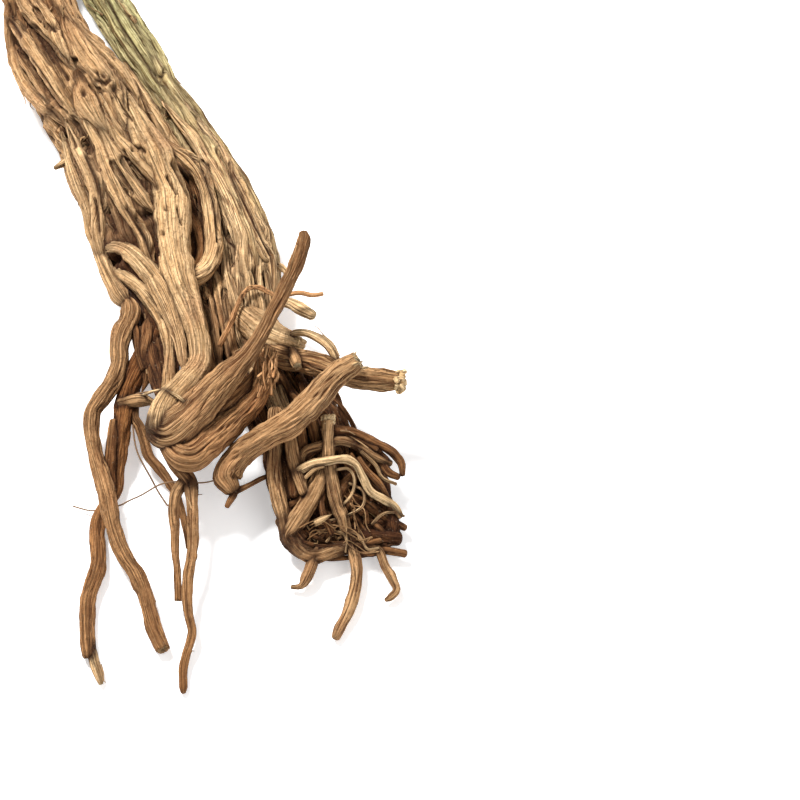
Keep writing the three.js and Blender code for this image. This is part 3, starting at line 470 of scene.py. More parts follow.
# The route that the fibres of the broken root's frayed end follow, as [across, down, height]
FRAYED_END = [[66.8, 89, 22.6], [66.9, 92, 23.4], [66.2, 95.6, 22.8], [65.4, 99.4, 21.6]]
# The hair roots, as [across, down, height]
HAIRS = [
    [[33.2, 106.2, 9], [33.5, 110, 8], [34.5, 113.8, 7], [36.2, 116.8, 6], [38, 120, 4], [40, 123.8, 2],
     [42, 126.5, 1]],
    [[53.8, 120, 13], [51.2, 121, 13], [43.8, 120.2, 12], [40, 121, 10], [37.5, 122.5, 8], [35, 124, 6],
     [32.5, 125, 4.5], [30, 126.5, 3], [23.8, 127.8, 1.5], [21.2, 127.5, 1], [18.2, 126.5, 0.8]],
    [[34, 98.5, 12], [36, 98, 13], [39.2, 97.8, 14], [42.5, 99, 15], [45, 100.2, 17]],
    [[57.8, 122, 12], [60, 121.8, 10], [63.5, 120.2, 9], [68.2, 118.5, 9]],
]
# Slits and holes as the eye sees them: a line of [across, down], half its width,
# and how high over the table it starts
SLITS = [
    ([[2.6, 7], [3.4, 9.6], [5, 12.6], [7.4, 15.6], [10, 19.2], [12.6, 23.2], [14.6, 26.4]], 0.85, 8),
    ([[5.6, 4], [8.6, 8], [11, 11.4]], 0.6, 10), ([[11, 11.2], [12.6, 13], [13.4, 14.6]], 1.5, 10),
    ([[13.4, 14.6], [15, 17], [16.8, 19.6]], 0.5, 10), ([[2.2, 1.4], [3.6, 4.4]], 0.7, 8),
    ([[2.4, 5.6], [4.2, 8.6]], 1.3, 7), ([[11.8, 6.4], [13.8, 7]], 0.8, 10),
    ([[9, 2.4], [10.4, 5]], 0.6, 10), ([[3, 7], [4, 11]], 1.1, 8),
    ([[15, 13.8], [17.4, 15.2], [18.8, 15]], 0.6, 12),
    ([[22.4, 21.4], [24.4, 23.9], [26.2, 27.6], [28.2, 31.6]], 0.24, 16),
    ([[24.8, 22], [26.2, 24.6], [28, 28.4], [30.2, 32]], 0.24, 16),
    ([[28.6, 21.8], [28.6, 22.4]], 0.9, 16), ([[28.8, 21.6], [29, 24], [30.6, 27.2], [33, 30]], 0.3, 16),
    ([[32, 22.4], [32, 27.4]], 0.25, 16), ([[35, 24.6], [38, 30]], 0.35, 10),
    ([[24.6, 20.2], [26, 20.8], [27.4, 19.6]], 0.7, 16), ([[24.2, 17.8], [24.6, 19.6]], 0.35, 16),
    ([[20.8, 23], [20.8, 23.2]], 0.8, 16), ([[18.2, 30.2], [20.6, 34], [22.4, 37.4]], 1, 10),
    ([[17, 32.6], [18.8, 36.4]], 0.5, 10), ([[33.2, 37.2], [34.8, 37], [36, 37.8]], 0.5, 16),
    ([[30.8, 37.6], [32, 40]], 0.35, 16), ([[25.2, 26.2], [26, 28.4], [28, 31.4]], 0.2, 16),
    ([[25.8, 18.6], [25.9, 18.7]], 0.75, 18), ([[39.8, 19.6], [41.2, 17.4]], 0.45, 3),
    ([[8.3, 7.1], [10.8, 10], [13.3, 12.5], [15.4, 14.6], [17.9, 16.2]], 1.0, 9),
    ([[21.8, 39.2], [25.8, 49.2]], 0.85, 14), ([[28.2, 40.8], [32.5, 48.2]], 0.7, 14),
    ([[30.8, 40], [36.8, 46.8]], 0.9, 14), ([[25.6, 50], [28.6, 58]], 0.6, 12),
    ([[23.6, 50], [24.8, 58]], 0.5, 10), ([[31.6, 52], [36.6, 60], [38.6, 64.4]], 0.6, 12),
    ([[43.4, 40.8], [47.8, 49.2]], 0.6, 12), ([[12.6, 27.6], [15.4, 30.6], [16, 34]], 0.9, 6),
    ([[50.4, 40.4], [55.8, 56.7], [59.2, 64.2]], 0.5, 4),
    ([[54.2, 37.5], [59.2, 46.7], [64.2, 56.7], [67.5, 63.3]], 0.5, 4),
    ([[51.7, 40.8], [54.2, 51.7], [54.6, 60]], 0.45, 4),
    ([[57.5, 40.8], [61.7, 49.2], [66.7, 60]], 0.45, 4), ([[40.6, 27.4], [46, 35.4], [49, 40]], 0.5, 4),
    ([[34.8, 54.4], [36.6, 53.6]], 1.1, 6), ([[29, 64.6], [28.8, 64.9]], 1.1, 12),
    ([[41.8, 44.2], [44.2, 48.2]], 0.35, 18), ([[40.5, 58.2], [40.6, 58.3]], 0.5, 16),
    ([[41.2, 52], [41.4, 52.2]], 0.45, 16), ([[44.4, 52], [45.6, 56]], 0.3, 14),
    ([[63.2, 67.6], [63.8, 71.4]], 0.75, 7), ([[66.4, 68], [67, 72]], 0.65, 7),
    ([[60.6, 69], [61.6, 75.6]], 0.7, 7), ([[57.6, 61.6], [58.2, 66]], 0.6, 7),
    ([[56, 73], [56.6, 80]], 0.6, 7), ([[51, 72], [52.4, 82]], 0.6, 7),
    ([[27, 0], [30, 6.2], [33.8, 12], [37.4, 17], [39.4, 19.4]], 0.35, 5),
    ([[24.8, 7], [28.6, 14.6]], 0.3, 4), ([[30.6, 0], [33.4, 6], [36.6, 12]], 0.2, 5),
]


# What the eye sees

EYE = EYE_DISTANCE * np.array([0.0, -math.cos(LOOK_DOWN), math.sin(LOOK_DOWN)])
VIEW_UP = np.array([0.0, math.sin(LOOK_DOWN), math.cos(LOOK_DOWN)])


def sight_line(across, down):
    """From the eye through what it sees at across and down. One unit reaches the plane that it looks at."""
    return np.array([across - VIEW_CENTRE, 0.0, 0.0]) + (VIEW_CENTRE - down) * VIEW_UP - EYE


def at_height(across, down, height, radius=0.0):
    line = sight_line(across, down)
    share = (height - EYE[2]) / line[2]
    return np.append(EYE + share * line, radius * share)


def laid_on(stem, across, down, radius):
    """The first place where the line of sight meets the stem, or passes closest to it, sunk a little."""
    line = sight_line(across, down)
    reach = np.linalg.norm(line)
    line = line / reach
    along = (stem[:, :3] - EYE) @ line
    off = np.linalg.norm(EYE + along[:, None] * line - stem[:, :3], axis=1)
    inside = off < stem[:, 3]
    if inside.any():
        met = (along[inside] - np.sqrt(stem[inside, 3] ** 2 - off[inside] ** 2)).min()
    else:
        met = along[np.argmin(off - stem[:, 3])]
    met += SINK * radius
    return np.append(EYE + met * line, radius * met / reach)


def seen_at(places):
    """The across and down at which the eye sees each place."""
    away = places - EYE
    depth = away @ (-EYE / EYE_DISTANCE)
    return VIEW_CENTRE + np.stack([away[..., 0], -away @ VIEW_UP], -1) * (EYE_DISTANCE / depth)[..., None]


def off_line(seen, points):
    """How far from a line of points the eye sees each place."""
    off = np.full(seen.shape[:-1], np.inf)
    for start, end in zip(points, points[1:]):
        line = end - start
        share = np.clip(((seen - start) @ line) / (line @ line), 0, 1)
        off = np.minimum(off, np.linalg.norm(seen - start - share[..., None] * line, axis=-1))
    return off


def slit_depth(corners, outward):
    """How deep each corner lies in a slit or hole, from 0 to 1, and its share of the raised lip round it."""
    seen = seen_at(corners)
    deep, lip = np.zeros(seen.shape[:-1]), np.zeros(seen.shape[:-1])
    open_to_eye = np.clip((outward @ (EYE / EYE_DISTANCE)) * SLIT_FACING, 0, 1)
    low, high = seen.min((0, 1)) - SLIT_MARGIN, seen.max((0, 1)) + SLIT_MARGIN
    for points, half, lowest in SLITS:
        points = np.array(points)
        if (points.min(0) > high).any() or (points.max(0) < low).any():
            continue
        off = off_line(seen, points) / half
        reached = open_to_eye * (corners[..., 2] > lowest)
        deep = np.maximum(deep, np.exp(-off**2) * reached)
        lip = np.maximum(lip, np.exp(-((off - LIP_OFF) / LIP_HALF) ** 2) * reached * min(half, 1))
    return deep, lip


# Routes

def placed(route, stem=None):
    """A row of place and radius for each point of a route."""
    return np.array([
        at_height(across, down, *height, radius) if height else laid_on(stem, across, down, radius)
        for across, down, *height, radius in route
    ])


def placed_line(route):
    """A row of place and no radius for each point of a route that only says where its followers go."""
    return np.array([at_height(*point) for point in route])


def filled(route, steps=8):
    """Points close together along a stem, so that a line of sight finds its skin."""
    points = placed(route)
    shares = np.arange(0, len(points) - 1, 1 / steps)
    return np.stack([np.interp(shares, np.arange(len(points)), column) for column in points.T], 1)


def smooth_route(points, step):
    """A smooth curve through the points, with a row of place and radius every step millimetres."""
    padded = np.vstack([2 * points[0] - points[1], points, 2 * points[-1] - points[-2]])
    padded[[0, -1], 3] = points[[0, -1], 3]
    share = np.linspace(0, 1, CURVE_PARTS, endpoint=False)[:, None]
    pieces = []
    for a, b, c, d in zip(padded, padded[1:], padded[2:], padded[3:]):
        pieces.append(0.5 * (2 * b + (c - a) * share + (2 * a - 5 * b + 4 * c - d) * share**2
                             + (3 * b - 3 * c + d - a) * share**3))
    dense = np.vstack([*pieces, points[-1:]])
    length = np.append(0, np.cumsum(np.linalg.norm(np.diff(dense[:, :3], axis=0), axis=1)))
    count = max(4, round(length[-1] / step) + 1)
    even = np.linspace(0, length[-1], count)
    return even, np.stack([np.interp(even, length, column) for column in dense.T], 1)


def square_to(places):
    """Two directions square to the route at each place, which turn little, and the one ahead."""
    ahead = np.gradient(places, axis=0)
    ahead /= np.linalg.norm(ahead, axis=1)[:, None]
    sides = []
    side = np.array([0.0, 0.0, 1.0])
    for direction in ahead:
        side = side - side @ direction * direction
        side = side / np.linalg.norm(side)
        sides.append(side)
    sides = np.array(sides)
    return sides, np.cross(ahead, sides), ahead


def slow(rng, along, length):
    """A smooth random line between about -1 and 1 whose swings are some lengths long."""
    line = np.zeros_like(along)
    for part in SWINGS:
        line += np.sin(2 * np.pi * along / (length * part) + rng.uniform(0, 2 * np.pi))
    return line / SWING_SUM


def ropes_over(route, rng, count, radius, first=0.0, last=1.0, lengths=(35, 80), turn=0.3, span=2 * np.pi):
    """Strands that run down a stem, half sunk in its skin, spread over a span whose middle is underneath."""
    step, kept = 1.5, 3  # the stem is followed in short steps, of which every third is kept
    sunk = 0.45 * radius[1]
    long_swing, short_swing, thick_swing = 90, 22, 20
    along, stem = smooth_route(placed(route), step)
    side, other, _ = square_to(stem[:, :3])
    first, last = first * along[-1], last * along[-1]
    ropes = []
    for number in range(count):
        length = rng.uniform(*lengths)
        start = rng.uniform(first, max(first + 1, last - length))
        chosen = (along >= start) & (along <= min(start + length, last))
        line = along[chosen]
        angle = np.pi + span * ((number + 0.5) / count - 0.5) + rng.uniform(-0.2, 0.2)
        angle = angle + turn * slow(rng, line, long_swing) + 0.04 * slow(rng, line, short_swing)
        out = stem[chosen, 3] - sunk
        ring = np.cos(angle)[:, None] * side[chosen] + np.sin(angle)[:, None] * other[chosen]
        thick = rng.uniform(*radius) * (1 + 0.2 * slow(rng, line, thick_swing))
        points = np.column_stack([stem[chosen, :3] + out[:, None] * ring, thick])
        ropes.append(points[::kept])
    return [rope for rope in ropes if len(rope) > 4]


def bundle(route, rng, count, stray, radius, swing=40):
    """Strands that follow a route loosely, each at its own distance from it."""
    step, thick_swing, off_table = 2.5, 14, 0.1
    _, line = smooth_route(placed_line(route), step)
    along = step * np.arange(len(line))
    made = []
    for _ in range(count):
        first, last = rng.integers(0, len(line) // 4), rng.integers(3 * len(line) // 4, len(line))
        points = line.copy()
        for axis in range(3):
            points[:, axis] += stray * (rng.uniform(-0.8, 0.8) + 0.45 * slow(rng, along, swing))
        points[:, 3] = rng.uniform(*radius) * (1 + 0.2 * slow(rng, along, thick_swing))
        points[:, 2] = np.maximum(points[:, 2], points[:, 3] + off_table)
        made.append(points[first:last])
    return made


def broken_end(route):
    """The last place of a strand and its radius there, and the directions across it and ahead."""
    _, line = smooth_route(placed(route), 0.5)
    side, other, ahead = square_to(line[:, :3])
    return line[-1, :3], line[-1, 3], side[-1], other[-1], ahead[-1]


def splinters(route, rng, count, length, spread=0.35):
    """The torn fibres that stand out of the end of a broken strand."""
    end, radius, side, other, ahead = broken_end(route)
    inside = 1.2  # how far in front of the end a splinter starts
    made = []
    for _ in range(count):
        turn, out = rng.uniform(0, 2 * np.pi), radius * math.sqrt(rng.uniform(0.02, 0.9))
        ring = math.cos(turn) * side + math.sin(turn) * other
        lean = ahead + spread * rng.uniform(0, 1) * ring + 0.25 * rng.normal(size=3)
        reach, thick = length * rng.uniform(0.35, 1), rng.uniform(0.25, 0.55)
        root = end + out * ring - inside * ahead
        tip = root + (inside + reach) * lean + 0.25 * reach * rng.normal(size=3)
        middle = (root + tip) / 2 + 0.12 * reach * rng.normal(size=3)
        made.append(np.array([[*root, thick], [*middle, thick * 0.85], [*tip, thick * 0.35]]))
    return made


def crumbs(route, rng, count, radius):
    """The blunt bits of crumbly wood on the end of a broken strand."""
    end, width, side, other, ahead = broken_end(route)
    width *= 0.95
    made = []
    for _ in range(count):
        turn, out = rng.uniform(0, 2 * np.pi), width * math.sqrt(rng.uniform(0.02, 1))
        ring = math.cos(turn) * side + math.sin(turn) * other
        root = end + out * ring + rng.uniform(-0.9, 0.7) * ahead
        lean = ahead + 0.8 * rng.normal(size=3)
        thick = rng.uniform(*radius)
        places = [root + reach * lean / np.linalg.norm(lean) for reach in (0, 0.35, 0.7)]
        made.append(np.array([[*place, thick] for place in places]))
    return made


def loose_fibres(whole, rng, count):
    """Thin fibres that peel off the strands."""
    thick, lowest = 0.26, 0.4
    made = []
    weights = np.array([len(strand.points) * strand.points[:, 3].max() for strand in whole])
    for number in rng.choice(len(whole), count, p=weights / weights.sum()):
        _, route = smooth_route(whole[number].points, 1.0)
        side, other, _ = square_to(route[:, :3])
        at = rng.integers(1, len(route) - 1)
        length = rng.uniform(1.5, 9)
        turn = rng.uniform(0, 2 * np.pi)
        way = rng.choice((-1, 1))
        points = []
        for share in (0, 0.3, 0.6, 0.85, 1):
            here = int(np.clip(at + way * length * share, 0, len(route) - 1))
            angle = turn + 0.5 * share
            lift = route[here, 3] * 0.97 + share**2 * rng.uniform(0.2, 0.16 * length + 0.3)
            ring = math.cos(angle) * side[here] + math.sin(angle) * other[here]
            points.append([*(route[here, :3] + lift * ring), thick * (1 - 0.6 * share)])
        points = np.array(points)
        steps = np.linalg.norm(np.diff(points[:, :3], axis=0), axis=1)
        if steps.min() > 0.2 and points[:, 2].min() > lowest:
            made.append(points)
    return made


# A strand and its skin

TINTS = ("brown", "green", "orange", "straw", "dark", "smooth")


def side_by_side(rng, angle, along, count, wander, length, overlap=0.62):
    """The height of strands that lie side by side round a root: 0 in the furrows, 1 on the highest crests."""
    spacing = 2 * np.pi / count
    height = np.zeros((len(along), len(angle)))
    for number in range(count):
        middle = spacing * (number + rng.uniform(-0.25, 0.25) + wander * slow(rng, along, length))
        half = spacing * (overlap + 0.2 * slow(rng, along, 1.3 * length))
        tall = 0.8 + 0.2 * slow(rng, along, length)
        off = (angle[None, :] - middle[:, None] + np.pi) % (2 * np.pi) - np.pi
        crest = 1 - (off / half[:, None]) ** 2
        height = np.maximum(height, tall[:, None] * np.sqrt(np.clip(crest, 0, 1)))
    return height


class Strand:
    """One strand of the root.

    coarse and fine are the numbers of folds and furrows round it, and wander and length say how they
    swerve. step and pitch are the distances of its corners along and round it. cut says how far each end
    is bare wood, and fade over what length it thins out. lumpy and knots are how much its skin swells and
    how many scars it has to a millimetre. A hair has fewer corners, darkens nothing and isn't darkened,
    and shadow is how much others darken it. Each tint has a share at the first end and at the last.
    """

    def __init__(self, route, stem=None, coarse=0, fine=0, coarse_depth=0.2, fine_depth=0.12, step=0.8,
                 pitch=0.34, cut=(0, 0), wander=0.35, lumpy=0.05, length=26.0, fade=(0, 0), knots=0.0,
                 hair=False, shadow=1.0, **tints):
        self.points = route if isinstance(route, np.ndarray) else placed(route, stem)
        thickest = self.points[:, 3].max()
        self.coarse = coarse or max(3, round(thickest * FOLDS_TO_RADIUS))
        self.fine = fine or max(8, round(2 * np.pi * thickest / FURROW_WIDTH))
        self.coarse_depth, self.fine_depth = coarse_depth, fine_depth
        self.step, self.pitch = step, pitch
        self.wander, self.lumpy, self.length = wander, lumpy, length
        self.cut, self.fade, self.knots = cut, fade, knots
        self.hair, self.shadow = hair, shadow
        self.tints = {name: tints.get(name, (0, 0)) for name in TINTS}

    def skin(self, rng):
        """Its skin: rings of corners, with each corner's place along the fibre, the painted shade of its
        furrows, and its tints.
        """
        along, route = smooth_route(self.points, self.step)
        places, radius = route[:, :3], route[:, 3] * self.thinned(along)
        thickest = radius.max()
        fewest = FEWEST_IN_HAIR if self.hair else FEWEST_IN_RING
        count = int(np.clip(2 * np.pi * thickest / self.pitch, fewest, MOST_IN_RING))
        angle = np.linspace(0, 2 * np.pi, count, endpoint=False)
        coarse = side_by_side(rng, angle, along, self.coarse, self.wander, self.length)
        fine = side_by_side(rng, angle, along, self.fine, 0.5, self.length / 2, 0.56)
        swell = 1 + self.lumpy * slow(rng, along, 14) + 0.5 * self.lumpy * slow(rng, along, 5)
        fine_fall = (fine - FURROW_LEVEL) * self.fine_depth * min(1, THICK / thickest)
        fall = (coarse - FOLD_LEVEL) * self.coarse_depth + fine_fall
        fall = fall + self.knobs(rng, angle, along, thickest)
        out = radius[:, None] * swell[:, None] * (1 + fall)
        side, other, ahead = square_to(places)
        turn, rise = np.cos(angle)[None, :], np.sin(angle)[None, :]
        outward = turn[..., None] * side[:, None] + rise[..., None] * other[:, None]
        corners = places[:, None] + out[:, :, None] * outward
        fibre = np.stack(np.broadcast_arrays(thickest * turn, thickest * rise, along[:, None]), 2)
        carved, lip = slit_depth(corners, outward)
        corners += outward * (SLIT_LIP * lip - SLIT_DEPTH * carved)[:, :, None]
        # Painted shade: highest deep in the folds and furrows, none on their crests
        furrow_shade = np.clip(1 - coarse * 0.7 - fine * 0.4, 0, 1)
        tints = self.end_tints(along)
        tints["own"] = rng.uniform(-1, 1) + 0.5 * slow(rng, along, 25)
        return Skin(self, corners, fibre + rng.uniform(-50, 50, 3), furrow_shade, carved, tints, ahead, rng)

    def thinned(self, along):
        """How much of its full radius the strand has: less where an end runs into the wood below it."""
        share = np.ones_like(along)
        for length, from_end in zip(self.fade, (along, along[-1] - along)):
            if length:
                share *= FADED + (1 - FADED) * np.clip(from_end / length, 0, 1) ** 0.8
        return share

    def knobs(self, rng, angle, along, thickest):
        """Small scars and knobs where side roots broke off."""
        raised = np.zeros((len(along), len(angle)))
        margin = min(2, 0.2 * along[-1])
        for _ in range(round(self.knots * along[-1])):
            middle, turn = rng.uniform(margin, along[-1] - margin), rng.uniform(0, 2 * np.pi)
            width, height = rng.uniform(0.7, 1.5), rng.uniform(-0.7, 0.9) / thickest
            across = ((angle - turn + np.pi) % (2 * np.pi) - np.pi) * thickest
            away = ((along - middle)[:, None] ** 2 + across[None, :] ** 2) / width**2
            raised += height * (np.exp(-away) - 0.55 * np.exp(-away / 0.2))
        return raised

    def end_tints(self, along):
        """Each tint along the strand, from that of its first end to that of its last."""
        share = along / along[-1]
        return {name: a + (b - a) * share for name, (a, b) in self.tints.items()}


class Skin:
    """The corners, faces and attributes of one closed strand."""

    def __init__(self, strand, corners, fibre, furrow_shade, carved, tints, ahead, rng):
        self.hair, self.shadow = strand.hair, strand.shadow
        self.middle = corners.mean(1)
        self.reach = np.linalg.norm(corners - self.middle[:, None], axis=2).mean(1)
        start, end = self.ends(corners, fibre, furrow_shade, ahead, strand.cut, rng)
        self.corners = np.concatenate([start[0], corners, end[0]])
        self.fibre = np.concatenate([start[1], fibre, end[1]])
        self.furrow_shade = np.concatenate([start[2], furrow_shade, end[2]])
        self.carved = np.pad(carved, ((len(CAP_RINGS), len(CAP_RINGS)), (0, 0)))
        self.cut = self.with_caps(strand.cut[0], np.zeros(len(furrow_shade)), strand.cut[1])
        self.tints = {name: self.with_caps(line[0], line, line[-1]) for name, line in tints.items()}

    def with_caps(self, first, line, last):
        """A value for every corner, from one for each end and one for each ring between them."""
        caps = np.ones(len(CAP_RINGS))
        return np.concatenate([caps * first, line, caps * last])[:, None].repeat(self.furrow_shade.shape[1], 1)

    @staticmethod
    def ends(corners, fibre, furrow_shade, ahead, cut, rng):
        """The rings that close the two ends: broken across if cut, and rounded if not."""
        made = []
        for last, sign in ((0, -1), (-1, 1)):
            middle = corners[last].mean(0)
            outward = corners[last] - middle
            radius = np.linalg.norm(outward, axis=1).mean()
            ragged = (TORN_END if cut[last] else 0.0) * radius
            dome = (0.0 if cut[last] else ROUND_END) * radius
            rows = []
            for share in CAP_RINGS:
                bulge = dome * math.sqrt(1 - share**2) + ragged * rng.uniform(-1, 1, len(outward))
                rows.append(middle + share * outward + sign * bulge[:, None] * ahead[last])
            order = rows if sign > 0 else rows[::-1]
            flat = END_FURROW_SHADE * np.ones((len(CAP_RINGS), furrow_shade.shape[1]))
            made.append((np.array(order), np.repeat(fibre[last][None], len(CAP_RINGS), 0), flat))
        return made

    def faces(self, first):
        """The faces round its side, and one for each end, when its first corner has the number first."""
        rings, count = self.furrow_shade.shape
        ring = first + np.arange(rings)[:, None] * count
        here = ring + np.arange(count)
        there = ring + (np.arange(count) + 1) % count
        quads = np.stack([here[:-1], there[:-1], there[1:], here[1:]], 2).reshape(-1, 4)
        return quads, here[0][::-1], here[-1]


def shade_between(skins):
    """How dark each corner is, from 0 to 1: near the skin of another strand, and in a slit."""
    wide = [(number, skin) for number, skin in enumerate(skins) if not skin.hair]
    places = np.concatenate([skin.middle for _, skin in wide])
    reaches = np.concatenate([skin.reach for _, skin in wide])
    owner = np.concatenate([np.full(len(skin.middle), number) for number, skin in wide])
    shades = []
    for number, skin in enumerate(skins):
        corners = skin.corners.reshape(-1, 3)
        if skin.hair:
            shades.append(np.zeros(len(corners)))
            continue
        low, high = corners.min(0) - SHADE_MARGIN, corners.max(0) + SHADE_MARGIN
        near = owner != number
        near &= ((places + reaches[:, None] > low) & (places - reaches[:, None] < high)).all(1)
        gap = np.full(len(corners), FAR)
        others, others_reach = places[near], reaches[near]
        for start in range(0, len(corners), AT_ONCE):
            part = corners[start:start + AT_ONCE]
            if len(others):
                away = np.sqrt(np.maximum(
                    (part**2).sum(1)[:, None] + (others**2).sum(1)[None] - 2 * part @ others.T, 0))
                gap[start:start + AT_ONCE] = (away - others_reach).min(1)
        close = np.exp(-(np.clip(gap, 0, None) / SHADE_REACH) ** 2)
        in_slit = np.clip(SLIT_SHADE * skin.carved.ravel(), 0, 1)
        shades.append(np.maximum(skin.shadow * close, in_slit))
    return shades


def make_piece(name, skins, shades):
    """One mesh of closed strands, with the attributes that its material reads."""
    quads, ends, first = [], [], 0
    for skin in skins:
        sides, start, end = skin.faces(first)
        quads.append(sides)
        ends += [start.tolist(), end.tolist()]
        first += skin.furrow_shade.size
    corners = np.concatenate([skin.corners.reshape(-1, 3) for skin in skins]) - ROOT_MIDDLE
    corners[:, 2] = np.maximum(corners[:, 2], LOWEST)
    mesh = bpy.data.meshes.new(name)
    mesh.from_pydata((corners * MM).tolist(), [], np.concatenate(quads).tolist() + ends)
    values = {"furrow_shade": [skin.furrow_shade for skin in skins], "cut": [skin.cut for skin in skins]}
    for tint in skins[0].tints:
        values[tint] = [skin.tints[tint] for skin in skins]
    for label, rows in values.items():
        put(mesh, label, "FLOAT", "value", np.concatenate([row.ravel() for row in rows]))
    put(mesh, "shade", "FLOAT", "value", np.concatenate(shades))
    fibre = np.concatenate([skin.fibre.reshape(-1, 3) for skin in skins])
    put(mesh, "fibre", "FLOAT_VECTOR", "vector", fibre)
    mesh.polygons.foreach_set("use_smooth", np.ones(len(mesh.polygons), bool))
    piece = bpy.data.objects.new(name, mesh)
    bpy.context.scene.collection.objects.link(piece)
    return piece


def put(mesh, label, kind, field, values):
    mesh.attributes.new(label, kind, "POINT").data.foreach_set(field, values.astype(np.float32).ravel())


# Materials

def wired(tree, socket, value):
    if isinstance(value, Value):
        tree.links.new(value.socket, socket)
    else:
        socket.default_value = value


class Value:
    """The output of a shader node, on which Python's operators add Math nodes."""

    def __init__(self, shader, socket):
        self.shader, self.socket = shader, socket

    def _maths(self, operation, *values):
        return self.shader.node("ShaderNodeMath", {"operation": operation}, *values)

    def __add__(self, other):
        return self._maths("ADD", self, other)

    def __sub__(self, other):
        return self._maths("SUBTRACT", self, other)

    def __rsub__(self, other):
        return self._maths("SUBTRACT", other, self)

    def __mul__(self, other):
        return self._maths("MULTIPLY", self, other)

    __radd__ = __add__
    __rmul__ = __mul__

    def between(self, low, high):
        """0 under low, 1 over high, and smooth between them."""
        return self.shader.node("ShaderNodeMapRange", {"interpolation_type": "SMOOTHSTEP"}, self, low, high)


class Shader:
    """A material's node tree."""

    def __init__(self, name):
        self.material = bpy.data.materials.new(name)
        self.material.use_nodes = True
        self.tree = self.material.node_tree
        self.surface = self.tree.nodes["Principled BSDF"]

    def node(self, kind, settings, *values, output=0, **named):
        made = self.tree.nodes.new(kind)
        for setting, value in settings.items():
            setattr(made, setting, value)
        for socket, value in zip(made.inputs, values):
            wired(self.tree, socket, value)
        for label, value in named.items():
            wired(self.tree, made.inputs[label.replace("_", " ")], value)
        return Value(self, made.outputs[output])

    def attribute(self, name, output="Fac"):
        return self.node("ShaderNodeAttribute", {"attribute_name": name}, output=output)

    def scaled(self, vector, by):
        return self.node("ShaderNodeVectorMath", {"operation": "MULTIPLY"}, vector, by)

    def noise(self, vector, scale, detail=3.0, roughness=0.55):
        values = dict(Vector=vector, Scale=scale, Detail=detail, Roughness=roughness)
        return self.node("ShaderNodeTexNoise", {}, **values)

    def grain(self, fibre, stretch, scale, detail, roughness):
        """A noise drawn out along the fibre."""
        return self.noise(self.scaled(fibre, (1.0, 1.0, stretch)), scale, detail, roughness)

    def valleys(self, noise, half):
        """1 on the lines where a noise crosses its middle value, and 0 away from them."""
        return 1 - self.node("ShaderNodeMath", {"operation": "ABSOLUTE"}, noise - 0.5).between(0.0, half)

    def mixed(self, share, first, second):
        """A mix of two colours."""
        made = self.tree.nodes.new("ShaderNodeMix")
        made.data_type, made.clamp_factor = "RGBA", True
        for socket, value in zip((made.inputs[0], made.inputs[6], made.inputs[7]), (share, first, second)):
            wired(self.tree, socket, value)
        return Value(self, made.outputs[2])

    def finish(self, **sockets):
        for label, value in sockets.items():
            wired(self.tree, self.surface.inputs[label.replace("_", " ")], value)
        return self.material


def paint(red, green, blue):
    """A colour as it shows on a screen, from 0 to 255, as the linear colour that a shader takes."""
    shown = np.array([red, green, blue]) / 255
    linear = np.where(shown <= 0.04045, shown / 12.92, ((shown + 0.055) / 1.055) ** 2.4)
    return (*linear.tolist(), 1.0)


BARK_PAINTS = paint(190, 147, 98), paint(237, 200, 151)
TINT_PAINTS = {  # the darkest and palest of each tint, in the order in which they cover the bark
    "straw": (paint(206, 165, 112), paint(242, 214, 168)),
    "brown": (paint(94, 52, 22), paint(168, 114, 66)),
    "green": (paint(134, 126, 76), paint(206, 198, 144)),
    "orange": (paint(164, 98, 54), paint(228, 166, 110)),
    # dark is painted shade, for wood that lies in hollows, behind or under other strands
    "dark": (paint(52, 28, 14), paint(104, 64, 36)),
}
CUT_PAINTS = paint(150, 108, 70), paint(226, 202, 158)
PATCH, WRINKLE = paint(200, 146, 104), paint(112, 70, 38)
GROOVE, CRACK = paint(86, 44, 18), paint(100, 58, 30)
# Painted shade, in the furrows and near other strands and in slits
FURROW_SHADE, SHADE = paint(88, 46, 20), paint(48, 22, 9)
GRIT, PALE_GRIT = paint(118, 78, 46), paint(240, 214, 174)
HAIR_PAINT, FLOOR_PAINT = paint(120, 92, 66), paint(252, 252, 252)


